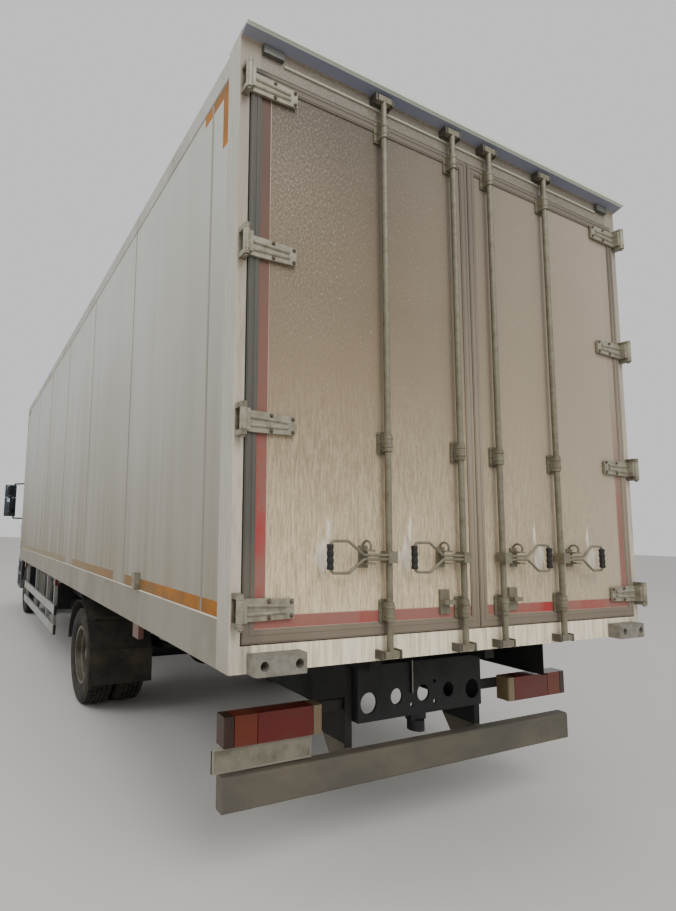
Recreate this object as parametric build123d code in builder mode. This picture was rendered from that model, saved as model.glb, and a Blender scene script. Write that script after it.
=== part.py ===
from build123d import *
import os
from math import cos, radians, sin, sqrt

# Refrigerated truck: two axles, day cab, insulated box body with a cooling unit on its front wall.
# Millimetres. +X is the truck's left, -Y its front, +Z up, and the ground is at z = 0.

os.makedirs("parts", exist_ok=True)

# Box body
BOX_WIDTH = 2600
BOX_LENGTH = 7450
BOX_HEIGHT = 2520
SILL_Z = 970
REAR_Y = 4625
HALF = BOX_WIDTH / 2
BOX_FRONT_Y = REAR_Y - BOX_LENGTH
BOX_TOP = SILL_Z + BOX_HEIGHT
WALL = 80
PANEL_INSET = 4
RAIL_HEIGHT = 110
SKIRT_HEIGHT = 183
FLOOR_TOP = SILL_Z + 100
ROOF_UNDER = BOX_TOP - 90
INNER_X = HALF - WALL
POST_DEPTH = 100
POST_FRONT_Y = REAR_Y - POST_DEPTH

# Rear opening and doors
DOOR_GAP = 6
OPENING_X = HALF - 44
OPENING_BOTTOM = SILL_Z + 97
OPENING_TOP = BOX_TOP - 119
DOOR_THICK = 78
DOOR_FACE_Y = REAR_Y - 2
SEAL_WIDTH = 50
SEAL_PROUD = 3
PIN_X = HALF - 20
PIN_Y = REAR_Y + 41
PIN_RADIUS = 8
HINGE_PITCH = (BOX_HEIGHT - 430) / 3
HINGE_HEIGHTS = [SILL_Z + 226 + HINGE_PITCH * step for step in range(4)]
ROD_X = (132, 573)
ROD_Y = REAR_Y + 30
ROD_RADIUS = 13.5
ROD_BOTTOM = SILL_Z + 14
ROD_TOP = BOX_TOP - 20
HANDLE_Z = SILL_Z + 420

# Chassis
RAIL_OUTER_X = 425
RAIL_BOTTOM = 590
RAIL_TOP = 850
RAIL_FLANGE = 70
RAIL_PLATE = 8
FRAME_FRONT_Y = -4480
FRAME_REAR_Y = REAR_Y - 345
BEARER_BOTTOM = 910

# Wheels and axles
HUB_Z = 395
TYRE_RADIUS = 395
TYRE_WIDTH = 235
RIM_RADIUS = 241
SEAT_RADIUS = 222
REAR_AXLE_Y = REAR_Y - 2970
WHEELBASE = 5100
FRONT_AXLE_Y = REAR_AXLE_Y - WHEELBASE
FRONT_TRACK_X = 1000
TWIN_OUTER_X = 1083
TWIN_SPACING = 262
KINGPIN_X = 830
TIE_ROD_REACH = 180
TIE_ROD_Z = 290
SPRING_X = 540

# Cab
CAB_HALF = 1140
CAB_FRONT_Y = -4680
CAB_REAR_Y = -2985
CAB_BOTTOM = 930
CAB_APRON_BOTTOM = 810
CAB_ROOF = 2420
CAB_WALL = 60
TILT_Y = -4540
TILT_Z = 500
BUMPER_FRONT_Y = -4687
BUMPER_TOP = 745


def save(piece, name):
    """Label a finished piece and write it under its own name."""
    piece.part.label = name
    export_step(piece.part, "parts/" + name + ".step")


def across(y):
    """Vertical plane across the truck at y; extruding it goes forwards."""
    return Plane.XZ.offset(-y)


def along(x):
    """Vertical plane along the truck at x, its own x running to the rear."""
    return Plane.YZ.offset(x)


def level(z):
    """Level plane at height z."""
    return Plane.XY.offset(z)


def block(x_range, y_range, z_range, mode=Mode.ADD):
    """Box between two bounds on each axis, inside the open part."""
    centre = [(low + high) / 2 for low, high in (x_range, y_range, z_range)]
    size = [high - low for low, high in (x_range, y_range, z_range)]
    with Locations(tuple(centre)):
        Box(*size, mode=mode)


# Chassis frame: two channel rails, crossmembers, and the holed rear crossmember
REAR_PLATE = 10
COUPLING_Z = 690
COUPLING_SPACING = (160, 100)
COUPLING_BOLT_RADIUS = 10.5
# hole centre x, drop below the coupling, radius
REAR_PLATE_HOLES = [(0, 0, 41), (180, 0, 38), (-180, 0, 38), (358, 14, 50), (-358, 14, 50)]
# crossmember y, lower edge, upper edge
CROSSMEMBERS = [
    (-4400, 610, 830),
    (-2750, 700, 840),
    (-1400, 700, 840),
    (100, 700, 840),
    (1000, 700, 840),
    (2300, 620, 840),
    (3400, 620, 840),
]
CROSS_DEPTH = 60

with BuildPart() as chassis_frame:
    with BuildSketch(across(FRAME_REAR_Y)):
        with Locations((RAIL_OUTER_X - RAIL_FLANGE / 2, (RAIL_BOTTOM + RAIL_TOP) / 2)):
            Rectangle(RAIL_FLANGE, RAIL_TOP - RAIL_BOTTOM)
        with Locations((RAIL_OUTER_X - RAIL_FLANGE / 2 - RAIL_PLATE, (RAIL_BOTTOM + RAIL_TOP) / 2)):
            Rectangle(RAIL_FLANGE, RAIL_TOP - RAIL_BOTTOM - 2 * RAIL_PLATE, mode=Mode.SUBTRACT)
        mirror(about=Plane.YZ)
    extrude(amount=FRAME_REAR_Y - FRAME_FRONT_Y)
    for member_y, low_z, high_z in CROSSMEMBERS:
        inner = RAIL_OUTER_X - RAIL_PLATE
        block((-inner, inner), (member_y - CROSS_DEPTH / 2, member_y - CROSS_DEPTH / 2 + 6), (low_z, high_z))
        for flange_z in (low_z, high_z - 6):
            flange_y = (member_y - CROSS_DEPTH / 2, member_y + CROSS_DEPTH / 2)
            block((-inner, inner), flange_y, (flange_z, flange_z + 6))
    with BuildSketch(across(FRAME_REAR_Y + REAR_PLATE)):
        with Locations((0, (RAIL_BOTTOM + RAIL_TOP) / 2)):
            Rectangle(2 * RAIL_OUTER_X, RAIL_TOP - RAIL_BOTTOM)
        for hole_x, hole_drop, hole_radius in REAR_PLATE_HOLES:
            with Locations((hole_x, COUPLING_Z - hole_drop)):
                Circle(hole_radius, mode=Mode.SUBTRACT)
        with Locations((0, COUPLING_Z)):
            with GridLocations(*COUPLING_SPACING, 2, 2):
                Circle(COUPLING_BOLT_RADIUS, mode=Mode.SUBTRACT)
    extrude(amount=REAR_PLATE)
    plate_back = FRAME_REAR_Y + REAR_PLATE
    block((-20, 80), (plate_back - 45, plate_back - 5), (RAIL_BOTTOM - 30, RAIL_BOTTOM + 6))
    with Locations((30, plate_back - 25, RAIL_BOTTOM - 55)):
        Cylinder(42, 52)
    block((82, 90), (plate_back, plate_back + 10), (COUPLING_Z + 10, RAIL_TOP))
    for side in (-1, 1):
        bracket_x = sorted((side * 355, side * RAIL_OUTER_X))
        block(bracket_x, (TILT_Y - 40, FRAME_FRONT_Y), (TILT_Z - 40, TILT_Z + 270))
        with BuildSketch(along(min(side * RAIL_OUTER_X, side * (RAIL_OUTER_X + 65)))):
            with Locations((TILT_Y, TILT_Z)):
                Circle(20)
        extrude(amount=65)
save(chassis_frame, "chassis_frame")

# Engine with its gearbox, one plain mass under the cab
with BuildPart() as engine_block:
    block((-320, 320), (-4150, -3150), (540, 1120))
    block((-200, 200), (-3150, -2500), (520, 680))
save(engine_block, "engine_block")

# Front axle: dropped beam, kingpin bosses, leaf springs and their hangers
BEAM_TOP = 355
BOSS_HEIGHT = 110
SPRING_WIDTH = 70
SPRING_DEPTH = 44


def leaf_section(plane, axle_y, seat_z, half_length, rise):
    """Side outline of one arched leaf pack."""
    with BuildSketch(plane) as section:
        with BuildLine():
            low_rear = (axle_y + half_length, seat_z + rise)
            low_front = (axle_y - half_length, seat_z + rise)
            top_rear = (axle_y + half_length, seat_z + rise + 20)
            top_front = (axle_y - half_length, seat_z + rise + 20)
            ThreePointArc(low_front, (axle_y, seat_z), low_rear)
            Line(low_rear, top_rear)
            ThreePointArc(top_rear, (axle_y, seat_z + SPRING_DEPTH), top_front)
            Line(top_front, low_front)
        make_face()
    return section.sketch


def leaf_springs(axle_y, seat_z, half_length, rise):
    """Two leaf packs with the hangers that hold them against the rails, inside the open part."""
    for side in (-1, 1):
        section = leaf_section(along(side * SPRING_X), axle_y, seat_z, half_length, rise)
        extrude(section, amount=SPRING_WIDTH / 2, both=True)
        hanger_x = sorted((side * RAIL_OUTER_X, side * (SPRING_X + SPRING_WIDTH / 2)))
        for end in (-1, 1):
            end_y = axle_y + end * half_length
            hanger_y = sorted((end_y - end * 60, end_y + end * 20))
            block(hanger_x, hanger_y, (seat_z + rise - 8, RAIL_BOTTOM + 90))


with BuildPart() as front_axle:
    with BuildSketch(across(FRONT_AXLE_Y + 40)):
        with BuildLine():
            Polyline(
                (-KINGPIN_X, HUB_Z + 45),
                (-700, HUB_Z + 20),
                (-610, BEAM_TOP),
                (610, BEAM_TOP),
                (700, HUB_Z + 20),
                (KINGPIN_X, HUB_Z + 45),
                (KINGPIN_X, HUB_Z - 45),
                (720, HUB_Z - 65),
                (620, BEAM_TOP - 95),
                (-620, BEAM_TOP - 95),
                (-720, HUB_Z - 65),
                (-KINGPIN_X, HUB_Z - 45),
                close=True,
            )
        make_face()
    extrude(amount=80)
    for side in (-1, 1):
        with Locations((side * KINGPIN_X, FRONT_AXLE_Y, HUB_Z)):
            Cylinder(40, BOSS_HEIGHT)
        block(sorted((side * 500, side * 580)), (FRONT_AXLE_Y - 60, FRONT_AXLE_Y + 60), (BEAM_TOP - 20, BEAM_TOP + 60))
    leaf_springs(FRONT_AXLE_Y, BEAM_TOP, 660, 130)
    for side in (-1, 1):
        with Locations((side * KINGPIN_X, FRONT_AXLE_Y, HUB_Z)):
            Cylinder(16.4, BOSS_HEIGHT + 100, mode=Mode.SUBTRACT)
save(front_axle, "front_axle")

# Rear axle: housing with its differential, spindles, and leaf springs
REAR_SPRING_SEAT = HUB_Z + 65
REAR_SPINDLE_RADIUS = 45
REAR_SPINDLE_X = TWIN_OUTER_X - 60
AXLE_TUBE_X = 690

with BuildPart() as rear_axle:
    with BuildSketch(Plane.YZ.offset(-AXLE_TUBE_X)):
        with Locations((REAR_AXLE_Y, HUB_Z)):
            Circle(65)
    extrude(amount=2 * AXLE_TUBE_X)
    with BuildSketch(Plane.YZ.offset(-REAR_SPINDLE_X)):
        with Locations((REAR_AXLE_Y, HUB_Z)):
            Circle(REAR_SPINDLE_RADIUS)
    extrude(amount=2 * REAR_SPINDLE_X)
    with Locations((0, REAR_AXLE_Y, HUB_Z)):
        Sphere(165)
    with Locations(Location((0, REAR_AXLE_Y - 190, HUB_Z), (90, 0, 0))):
        Cylinder(70, 120)
    for side in (-1, 1):
        pad_x = sorted((side * 490, side * 590))
        block(pad_x, (REAR_AXLE_Y - 70, REAR_AXLE_Y + 70), (HUB_Z, REAR_SPRING_SEAT + 60))
    leaf_springs(REAR_AXLE_Y, REAR_SPRING_SEAT, 720, 110)
save(rear_axle, "rear_axle")

# Propeller shaft from the gearbox to the differential
SHAFT_FRONT = (-2500, 600)
SHAFT_REAR = (REAR_AXLE_Y - 250, HUB_Z)

with BuildPart() as propeller_shaft:
    with BuildLine():
        shaft_line = Line((0, SHAFT_FRONT[0] + 20, SHAFT_FRONT[1]), (0, SHAFT_REAR[0] - 20, SHAFT_REAR[1]))
    with BuildSketch(Plane(origin=shaft_line @ 0, z_dir=shaft_line % 0)):
        Circle(45)
    extrude(amount=shaft_line.length)
    block((-60, 60), (SHAFT_FRONT[0], SHAFT_FRONT[0] + 40), (SHAFT_FRONT[1] - 60, SHAFT_FRONT[1] + 60))
    block((-60, 60), (SHAFT_REAR[0] - 40, SHAFT_REAR[0]), (SHAFT_REAR[1] - 60, SHAFT_REAR[1] + 60))
save(propeller_shaft, "propeller_shaft")

# Wheels: one tyre and rim profile, turned about the axle line
SIDE_SEAT = 84


def tyre_section(plane):
    """Half section of a tyre, its x across the tread and its y outward from the axle."""
    half = TYRE_WIDTH / 2
    bead = SEAT_RADIUS + 0.3
    with BuildSketch(plane) as section:
        with BuildLine():
            Line((-SIDE_SEAT, bead), (-SIDE_SEAT, 245))
            ThreePointArc((-SIDE_SEAT, 245), (-half, 318), (-96, 382))
            ThreePointArc((-96, 382), (0, TYRE_RADIUS), (96, 382))
            ThreePointArc((96, 382), (half, 318), (SIDE_SEAT, 245))
            Polyline(
                (SIDE_SEAT, 245),
                (SIDE_SEAT, bead),
                (62, bead),
                (98, 318),
                (76, 368),
                (-76, 368),
                (-98, 318),
                (-62, bead),
                (-SIDE_SEAT, bead),
            )
        make_face()
    return section.sketch


def rim_section(plane, disc_x):
    """Half section of a rim: the barrel, and the dished disc that stands at disc_x at its hub."""
    step = 1 if disc_x > 0 else -1
    with BuildSketch(plane) as section:
        with BuildLine():
            Polyline(
                (-96, RIM_RADIUS),
                (-SIDE_SEAT, RIM_RADIUS),
                (-SIDE_SEAT, SEAT_RADIUS),
                (-52, SEAT_RADIUS),
                (-40, 204),
                (40, 204),
                (52, SEAT_RADIUS),
                (SIDE_SEAT, SEAT_RADIUS),
                (SIDE_SEAT, RIM_RADIUS),
                (96, RIM_RADIUS),
                (96, 214),
                (52, 212),
                (42, 196),
                (-42, 196),
                (-52, 212),
                (-96, 214),
                close=True,
            )
        make_face()
        with BuildLine():
            Polyline(
                (step * 8, 198),
                (step * 24, 198),
                (disc_x + step * 2, 146),
                (disc_x + step * 2, 60),
                (disc_x - step * 10, 60),
                (disc_x - step * 10, 150),
                close=True,
            )
        make_face()
    return section.sketch


FRONT_DISC_X = 60
REAR_DISC_X = -60
HAND_HOLES = 8
HAND_HOLE_CIRCLE = 172


def wheel_plane(x, y):
    """Plane through an axle line at x, its own x outward along the axle and its own y upward."""
    outward = 1 if x > 0 else -1
    return Plane(origin=(x, y, HUB_Z), x_dir=(outward, 0, 0), z_dir=(0, -outward, 0))


def axle_line(y):
    return Axis((0, y, HUB_Z), (1, 0, 0))


# wheel name, centre x, axle y
FRONT_WHEELS = [("front_left", FRONT_TRACK_X, FRONT_AXLE_Y), ("front_right", -FRONT_TRACK_X, FRONT_AXLE_Y)]
SPINDLE_RADIUS = 30

for wheel_name, wheel_x, wheel_y in FRONT_WHEELS:
    with BuildPart() as tyre:
        revolve(tyre_section(wheel_plane(wheel_x, wheel_y)), axis=axle_line(wheel_y))
    save(tyre, "tyre_" + wheel_name)

    outward = 1 if wheel_x > 0 else -1
    with BuildPart() as rim:
        revolve(rim_section(wheel_plane(wheel_x, wheel_y), FRONT_DISC_X), axis=axle_line(wheel_y))
        hub_ends = sorted((wheel_x - outward * 60, wheel_x + outward * 100))
        with BuildSketch(along(hub_ends[0])):
            with Locations((wheel_y, HUB_Z)):
                Circle(75)
        extrude(amount=hub_ends[1] - hub_ends[0])
        bore_ends = sorted((wheel_x - outward * 61, wheel_x + outward * 60))
        with BuildSketch(along(bore_ends[0])):
            with Locations((wheel_y, HUB_Z)):
                Circle(SPINDLE_RADIUS + 0.5)
        extrude(amount=bore_ends[1] - bore_ends[0], mode=Mode.SUBTRACT)
        with BuildSketch(along(min(wheel_x, wheel_x + outward * 100))):
            with Locations((wheel_y, HUB_Z)):
                with PolarLocations(HAND_HOLE_CIRCLE - 38, HAND_HOLES):
                    Circle(20)
        extrude(amount=100, mode=Mode.SUBTRACT)
    save(rim, "rim_" + wheel_name)

# twin name, side
for twin_name, outward in [("rear_left", 1), ("rear_right", -1)]:
    outer_x = outward * TWIN_OUTER_X
    inner_x = outward * (TWIN_OUTER_X - TWIN_SPACING)
    with BuildPart() as tyres:
        for wheel_x in (outer_x, inner_x):
            revolve(tyre_section(wheel_plane(wheel_x, REAR_AXLE_Y)), axis=axle_line(REAR_AXLE_Y))
    save(tyres, "tyres_" + twin_name)

    with BuildPart() as rims:
        for wheel_x, disc_x in ((outer_x, REAR_DISC_X), (inner_x, FRONT_DISC_X)):
            revolve(rim_section(wheel_plane(wheel_x, REAR_AXLE_Y), disc_x), axis=axle_line(REAR_AXLE_Y))
        hub_ends = sorted((inner_x - outward * 60, outer_x + outward * 20))
        with BuildSketch(along(hub_ends[0])):
            with Locations((REAR_AXLE_Y, HUB_Z)):
                Circle(85)
        extrude(amount=hub_ends[1] - hub_ends[0])
        drum_ends = sorted((inner_x + outward * 40, outer_x - outward * 50))
        with BuildSketch(along(drum_ends[0])):
            with Locations((REAR_AXLE_Y, HUB_Z)):
                Circle(110)
        extrude(amount=drum_ends[1] - drum_ends[0])
        bore_ends = sorted((inner_x - outward * 61, outward * (REAR_SPINDLE_X + 5)))
        with BuildSketch(along(bore_ends[0])):
            with Locations((REAR_AXLE_Y, HUB_Z)):
                Circle(REAR_SPINDLE_RADIUS + 0.5)
        extrude(amount=bore_ends[1] - bore_ends[0], mode=Mode.SUBTRACT)
        with BuildSketch(along(min(outer_x, outer_x - outward * 80))):
            with Locations((REAR_AXLE_Y, HUB_Z)):
                with PolarLocations(HAND_HOLE_CIRCLE - 34, HAND_HOLES):
                    Circle(16)
        extrude(amount=80, mode=Mode.SUBTRACT)
    save(rims, "rims_" + twin_name)

# Steering: knuckles on their kingpins, and the tie rod behind the axle
for knuckle_name, outward in [("knuckle_left", 1), ("knuckle_right", -1)]:
    with BuildPart() as knuckle:
        lug_gap = BOSS_HEIGHT / 2 + 1.5
        for up in (-1, 1):
            lug_z = sorted((HUB_Z + up * lug_gap, HUB_Z + up * (lug_gap + 28)))
            with BuildSketch(level(lug_z[0])):
                with Locations((outward * KINGPIN_X, FRONT_AXLE_Y)):
                    Circle(38)
                with Locations((outward * (KINGPIN_X + 35), FRONT_AXLE_Y)):
                    Rectangle(70, 76)
            extrude(amount=28)
        cheek_x = sorted((outward * (KINGPIN_X + 48), outward * (KINGPIN_X + 72)))
        block(cheek_x, (FRONT_AXLE_Y - 45, FRONT_AXLE_Y + 45), (HUB_Z - lug_gap - 28, HUB_Z + lug_gap + 28))
        with Locations((outward * KINGPIN_X, FRONT_AXLE_Y, HUB_Z)):
            Cylinder(16, 2 * lug_gap + 56)
        spindle_ends = sorted((outward * (KINGPIN_X + 60), outward * (FRONT_TRACK_X + 50)))
        with BuildSketch(along(spindle_ends[0])):
            with Locations((FRONT_AXLE_Y, HUB_Z)):
                Circle(SPINDLE_RADIUS)
        extrude(amount=spindle_ends[1] - spindle_ends[0])
        arm_x = sorted((outward * (KINGPIN_X - 25), outward * (KINGPIN_X + 25)))
        block(arm_x, (FRONT_AXLE_Y + 20, FRONT_AXLE_Y + TIE_ROD_REACH + 25), (TIE_ROD_Z + 22, TIE_ROD_Z + 46))
        with Locations((outward * KINGPIN_X, FRONT_AXLE_Y + TIE_ROD_REACH, TIE_ROD_Z + 6)):
            Cylinder(9, 56)
    save(knuckle, knuckle_name)

with BuildPart() as tie_rod:
    rod_y = FRONT_AXLE_Y + TIE_ROD_REACH
    with BuildSketch(along(-KINGPIN_X + 15)):
        with Locations((rod_y, TIE_ROD_Z)):
            Circle(16)
    extrude(amount=2 * KINGPIN_X - 30)
    for side in (-1, 1):
        with Locations((side * KINGPIN_X, rod_y, TIE_ROD_Z)):
            Cylinder(24, 20)
    for side in (-1, 1):
        with Locations((side * KINGPIN_X, rod_y, TIE_ROD_Z)):
            Cylinder(9.5, 60, mode=Mode.SUBTRACT)
save(tie_rod, "tie_rod")

# Subframe: two long members on the rails and bearers across under the floor
BEARER_COUNT = 14
BEARER_FIRST_Y = BOX_FRONT_Y + 200
BEARER_PITCH = (POST_FRONT_Y - 150 - BEARER_FIRST_Y) / (BEARER_COUNT - 1)
BEARER_YS = [BEARER_FIRST_Y + BEARER_PITCH * step for step in range(BEARER_COUNT)]
BEARER_HALF = HALF - 100
DEEP_PLATE_Y = (3920, BEARER_YS[-1] - 23)
DEEP_PLATE_Z = 716

with BuildPart() as subframe:
    for side in (-1, 1):
        member_x = sorted((side * 355, side * RAIL_OUTER_X))
        block(member_x, (BOX_FRONT_Y + 100, BEARER_YS[-1]), (RAIL_TOP, BEARER_BOTTOM))
    for bearer_y in BEARER_YS:
        with BuildSketch(across(bearer_y + 25)):
            with BuildLine():
                Polyline(
                    (-BEARER_HALF, SILL_Z),
                    (BEARER_HALF, SILL_Z),
                    (BEARER_HALF, SILL_Z - 30),
                    (BEARER_HALF - 300, BEARER_BOTTOM),
                    (300 - BEARER_HALF, BEARER_BOTTOM),
                    (-BEARER_HALF, SILL_Z - 30),
                    close=True,
                )
            make_face()
        extrude(amount=50)
    block((-871, -865), DEEP_PLATE_Y, (DEEP_PLATE_Z, SILL_Z))
    block((-895, -865), DEEP_PLATE_Y, (DEEP_PLATE_Z, DEEP_PLATE_Z + 6))
save(subframe, "subframe")

# Box body: floor, walls, roof, and the aluminium rails that frame them
with BuildPart() as box_floor:
    block((-INNER_X, INNER_X), (BOX_FRONT_Y + WALL, POST_FRONT_Y), (SILL_Z, FLOOR_TOP))
save(box_floor, "box_floor")

for wall_name, side in [("side_wall_left", 1), ("side_wall_right", -1)]:
    with BuildPart() as side_wall:
        wall_x = sorted((side * INNER_X, side * (HALF - PANEL_INSET)))
        block(wall_x, (BOX_FRONT_Y + WALL, POST_FRONT_Y), (SILL_Z + SKIRT_HEIGHT, BOX_TOP - RAIL_HEIGHT))
    save(side_wall, wall_name)

UNIT_OPENING_X = 750
UNIT_OPENING_Z = (BOX_TOP - 540, BOX_TOP - 160)

with BuildPart() as front_wall:
    wall_y = (BOX_FRONT_Y + PANEL_INSET, BOX_FRONT_Y + WALL)
    block((-INNER_X, INNER_X), wall_y, (FLOOR_TOP, BOX_TOP - RAIL_HEIGHT))
    block((-UNIT_OPENING_X, UNIT_OPENING_X), (BOX_FRONT_Y, BOX_FRONT_Y + WALL), UNIT_OPENING_Z, mode=Mode.SUBTRACT)
save(front_wall, "front_wall")

with BuildPart() as box_roof:
    block((-INNER_X, INNER_X), (BOX_FRONT_Y + WALL, POST_FRONT_Y), (ROOF_UNDER, BOX_TOP - 6))
save(box_roof, "box_roof")

with BuildPart() as box_rails:
    for side in (-1, 1):
        rail_x = sorted((side * INNER_X, side * HALF))
        block(rail_x, (BOX_FRONT_Y, POST_FRONT_Y), (SILL_Z, SILL_Z + SKIRT_HEIGHT))
        block(rail_x, (BOX_FRONT_Y, POST_FRONT_Y), (BOX_TOP - RAIL_HEIGHT, BOX_TOP))
        block(rail_x, (BOX_FRONT_Y, BOX_FRONT_Y + WALL), (SILL_Z, BOX_TOP))
    block((-INNER_X, INNER_X), (BOX_FRONT_Y, BOX_FRONT_Y + WALL), (SILL_Z, FLOOR_TOP))
    block((-INNER_X, INNER_X), (BOX_FRONT_Y, BOX_FRONT_Y + WALL), (BOX_TOP - RAIL_HEIGHT, BOX_TOP))
    corner_edges = box_rails.edges().filter_by(Axis.Z).group_by(Axis.Y)[0]
    fillet([edge for edge in corner_edges if abs(edge.center().X) > HALF - 1], radius=40)
    top_edges = box_rails.edges().filter_by(Axis.Y).group_by(Axis.Z)[-1]
    fillet([edge for edge in top_edges if abs(edge.center().X) > HALF - 1], radius=25)
save(box_rails, "box_rails")

# Rear frame: corner posts, sill and header in one portal, with the rain visor on top
VISOR_REACH = 60
POST_CORNER = 6
LEDGE_X = HALF - 206
LEDGE_Z = BOX_TOP - 68

with BuildPart() as rear_frame:
    with BuildSketch(across(REAR_Y)):
        with Locations((0, (SILL_Z + BOX_TOP) / 2)):
            Rectangle(BOX_WIDTH, BOX_HEIGHT)
        with Locations((0, (OPENING_BOTTOM + OPENING_TOP) / 2)):
            Rectangle(2 * OPENING_X, OPENING_TOP - OPENING_BOTTOM, mode=Mode.SUBTRACT)
    extrude(amount=POST_DEPTH)
    post_edges = rear_frame.edges().filter_by(Axis.Z).group_by(Axis.Y)[-1]
    fillet([edge for edge in post_edges if abs(edge.center().X) > HALF - 1], radius=POST_CORNER)
    with BuildSketch(along(-HALF)):
        with BuildLine():
            Polyline(
                (REAR_Y - 70, BOX_TOP - 15),
                (REAR_Y, BOX_TOP - 15),
                (REAR_Y + VISOR_REACH - 8, BOX_TOP + 5),
                (REAR_Y + VISOR_REACH, BOX_TOP + 6),
                (REAR_Y + VISOR_REACH, BOX_TOP + 20),
                (REAR_Y + VISOR_REACH - 12, BOX_TOP + 20),
                (REAR_Y - 70, BOX_TOP + 4),
                close=True,
            )
        make_face()
    extrude(amount=BOX_WIDTH)
    block((-LEDGE_X, LEDGE_X), (REAR_Y - 2, REAR_Y + 7), (LEDGE_Z, LEDGE_Z + 8))
save(rear_frame, "rear_frame")

# Rear doors, their rubber seals and their lock gear
DOOR_NEAR_X = DOOR_GAP / 2
DOOR_FAR_X = OPENING_X - DOOR_GAP
DOOR_BOTTOM = OPENING_BOTTOM + DOOR_GAP
DOOR_TOP = OPENING_TOP - DOOR_GAP
SEAL_DEPTH = 6
GRIP_REACH = 318
# hinge strap: inner end, outer end of its pad on the door, outer end of the flat plate
STRAP_X = (HALF - 267, HALF - 110, HALF - 45)
STRAP_HALF = (36, 41)
RIB_X = (HALF - 231, HALF - 62)
RIB_HALF = (11, 16)
KNUCKLE_RADIUS = 14
EAR_HALF = (STRAP_HALF[1] + 1, STRAP_HALF[1] + 21)
# rod guides: bottom, middle and top
GUIDE_ZS = (SILL_Z + 198, SILL_Z + 900, BOX_TOP - 184)
CAM_HALF = 38
KEEPER_GAP = 4
STOP_X = (200, 258)

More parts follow.
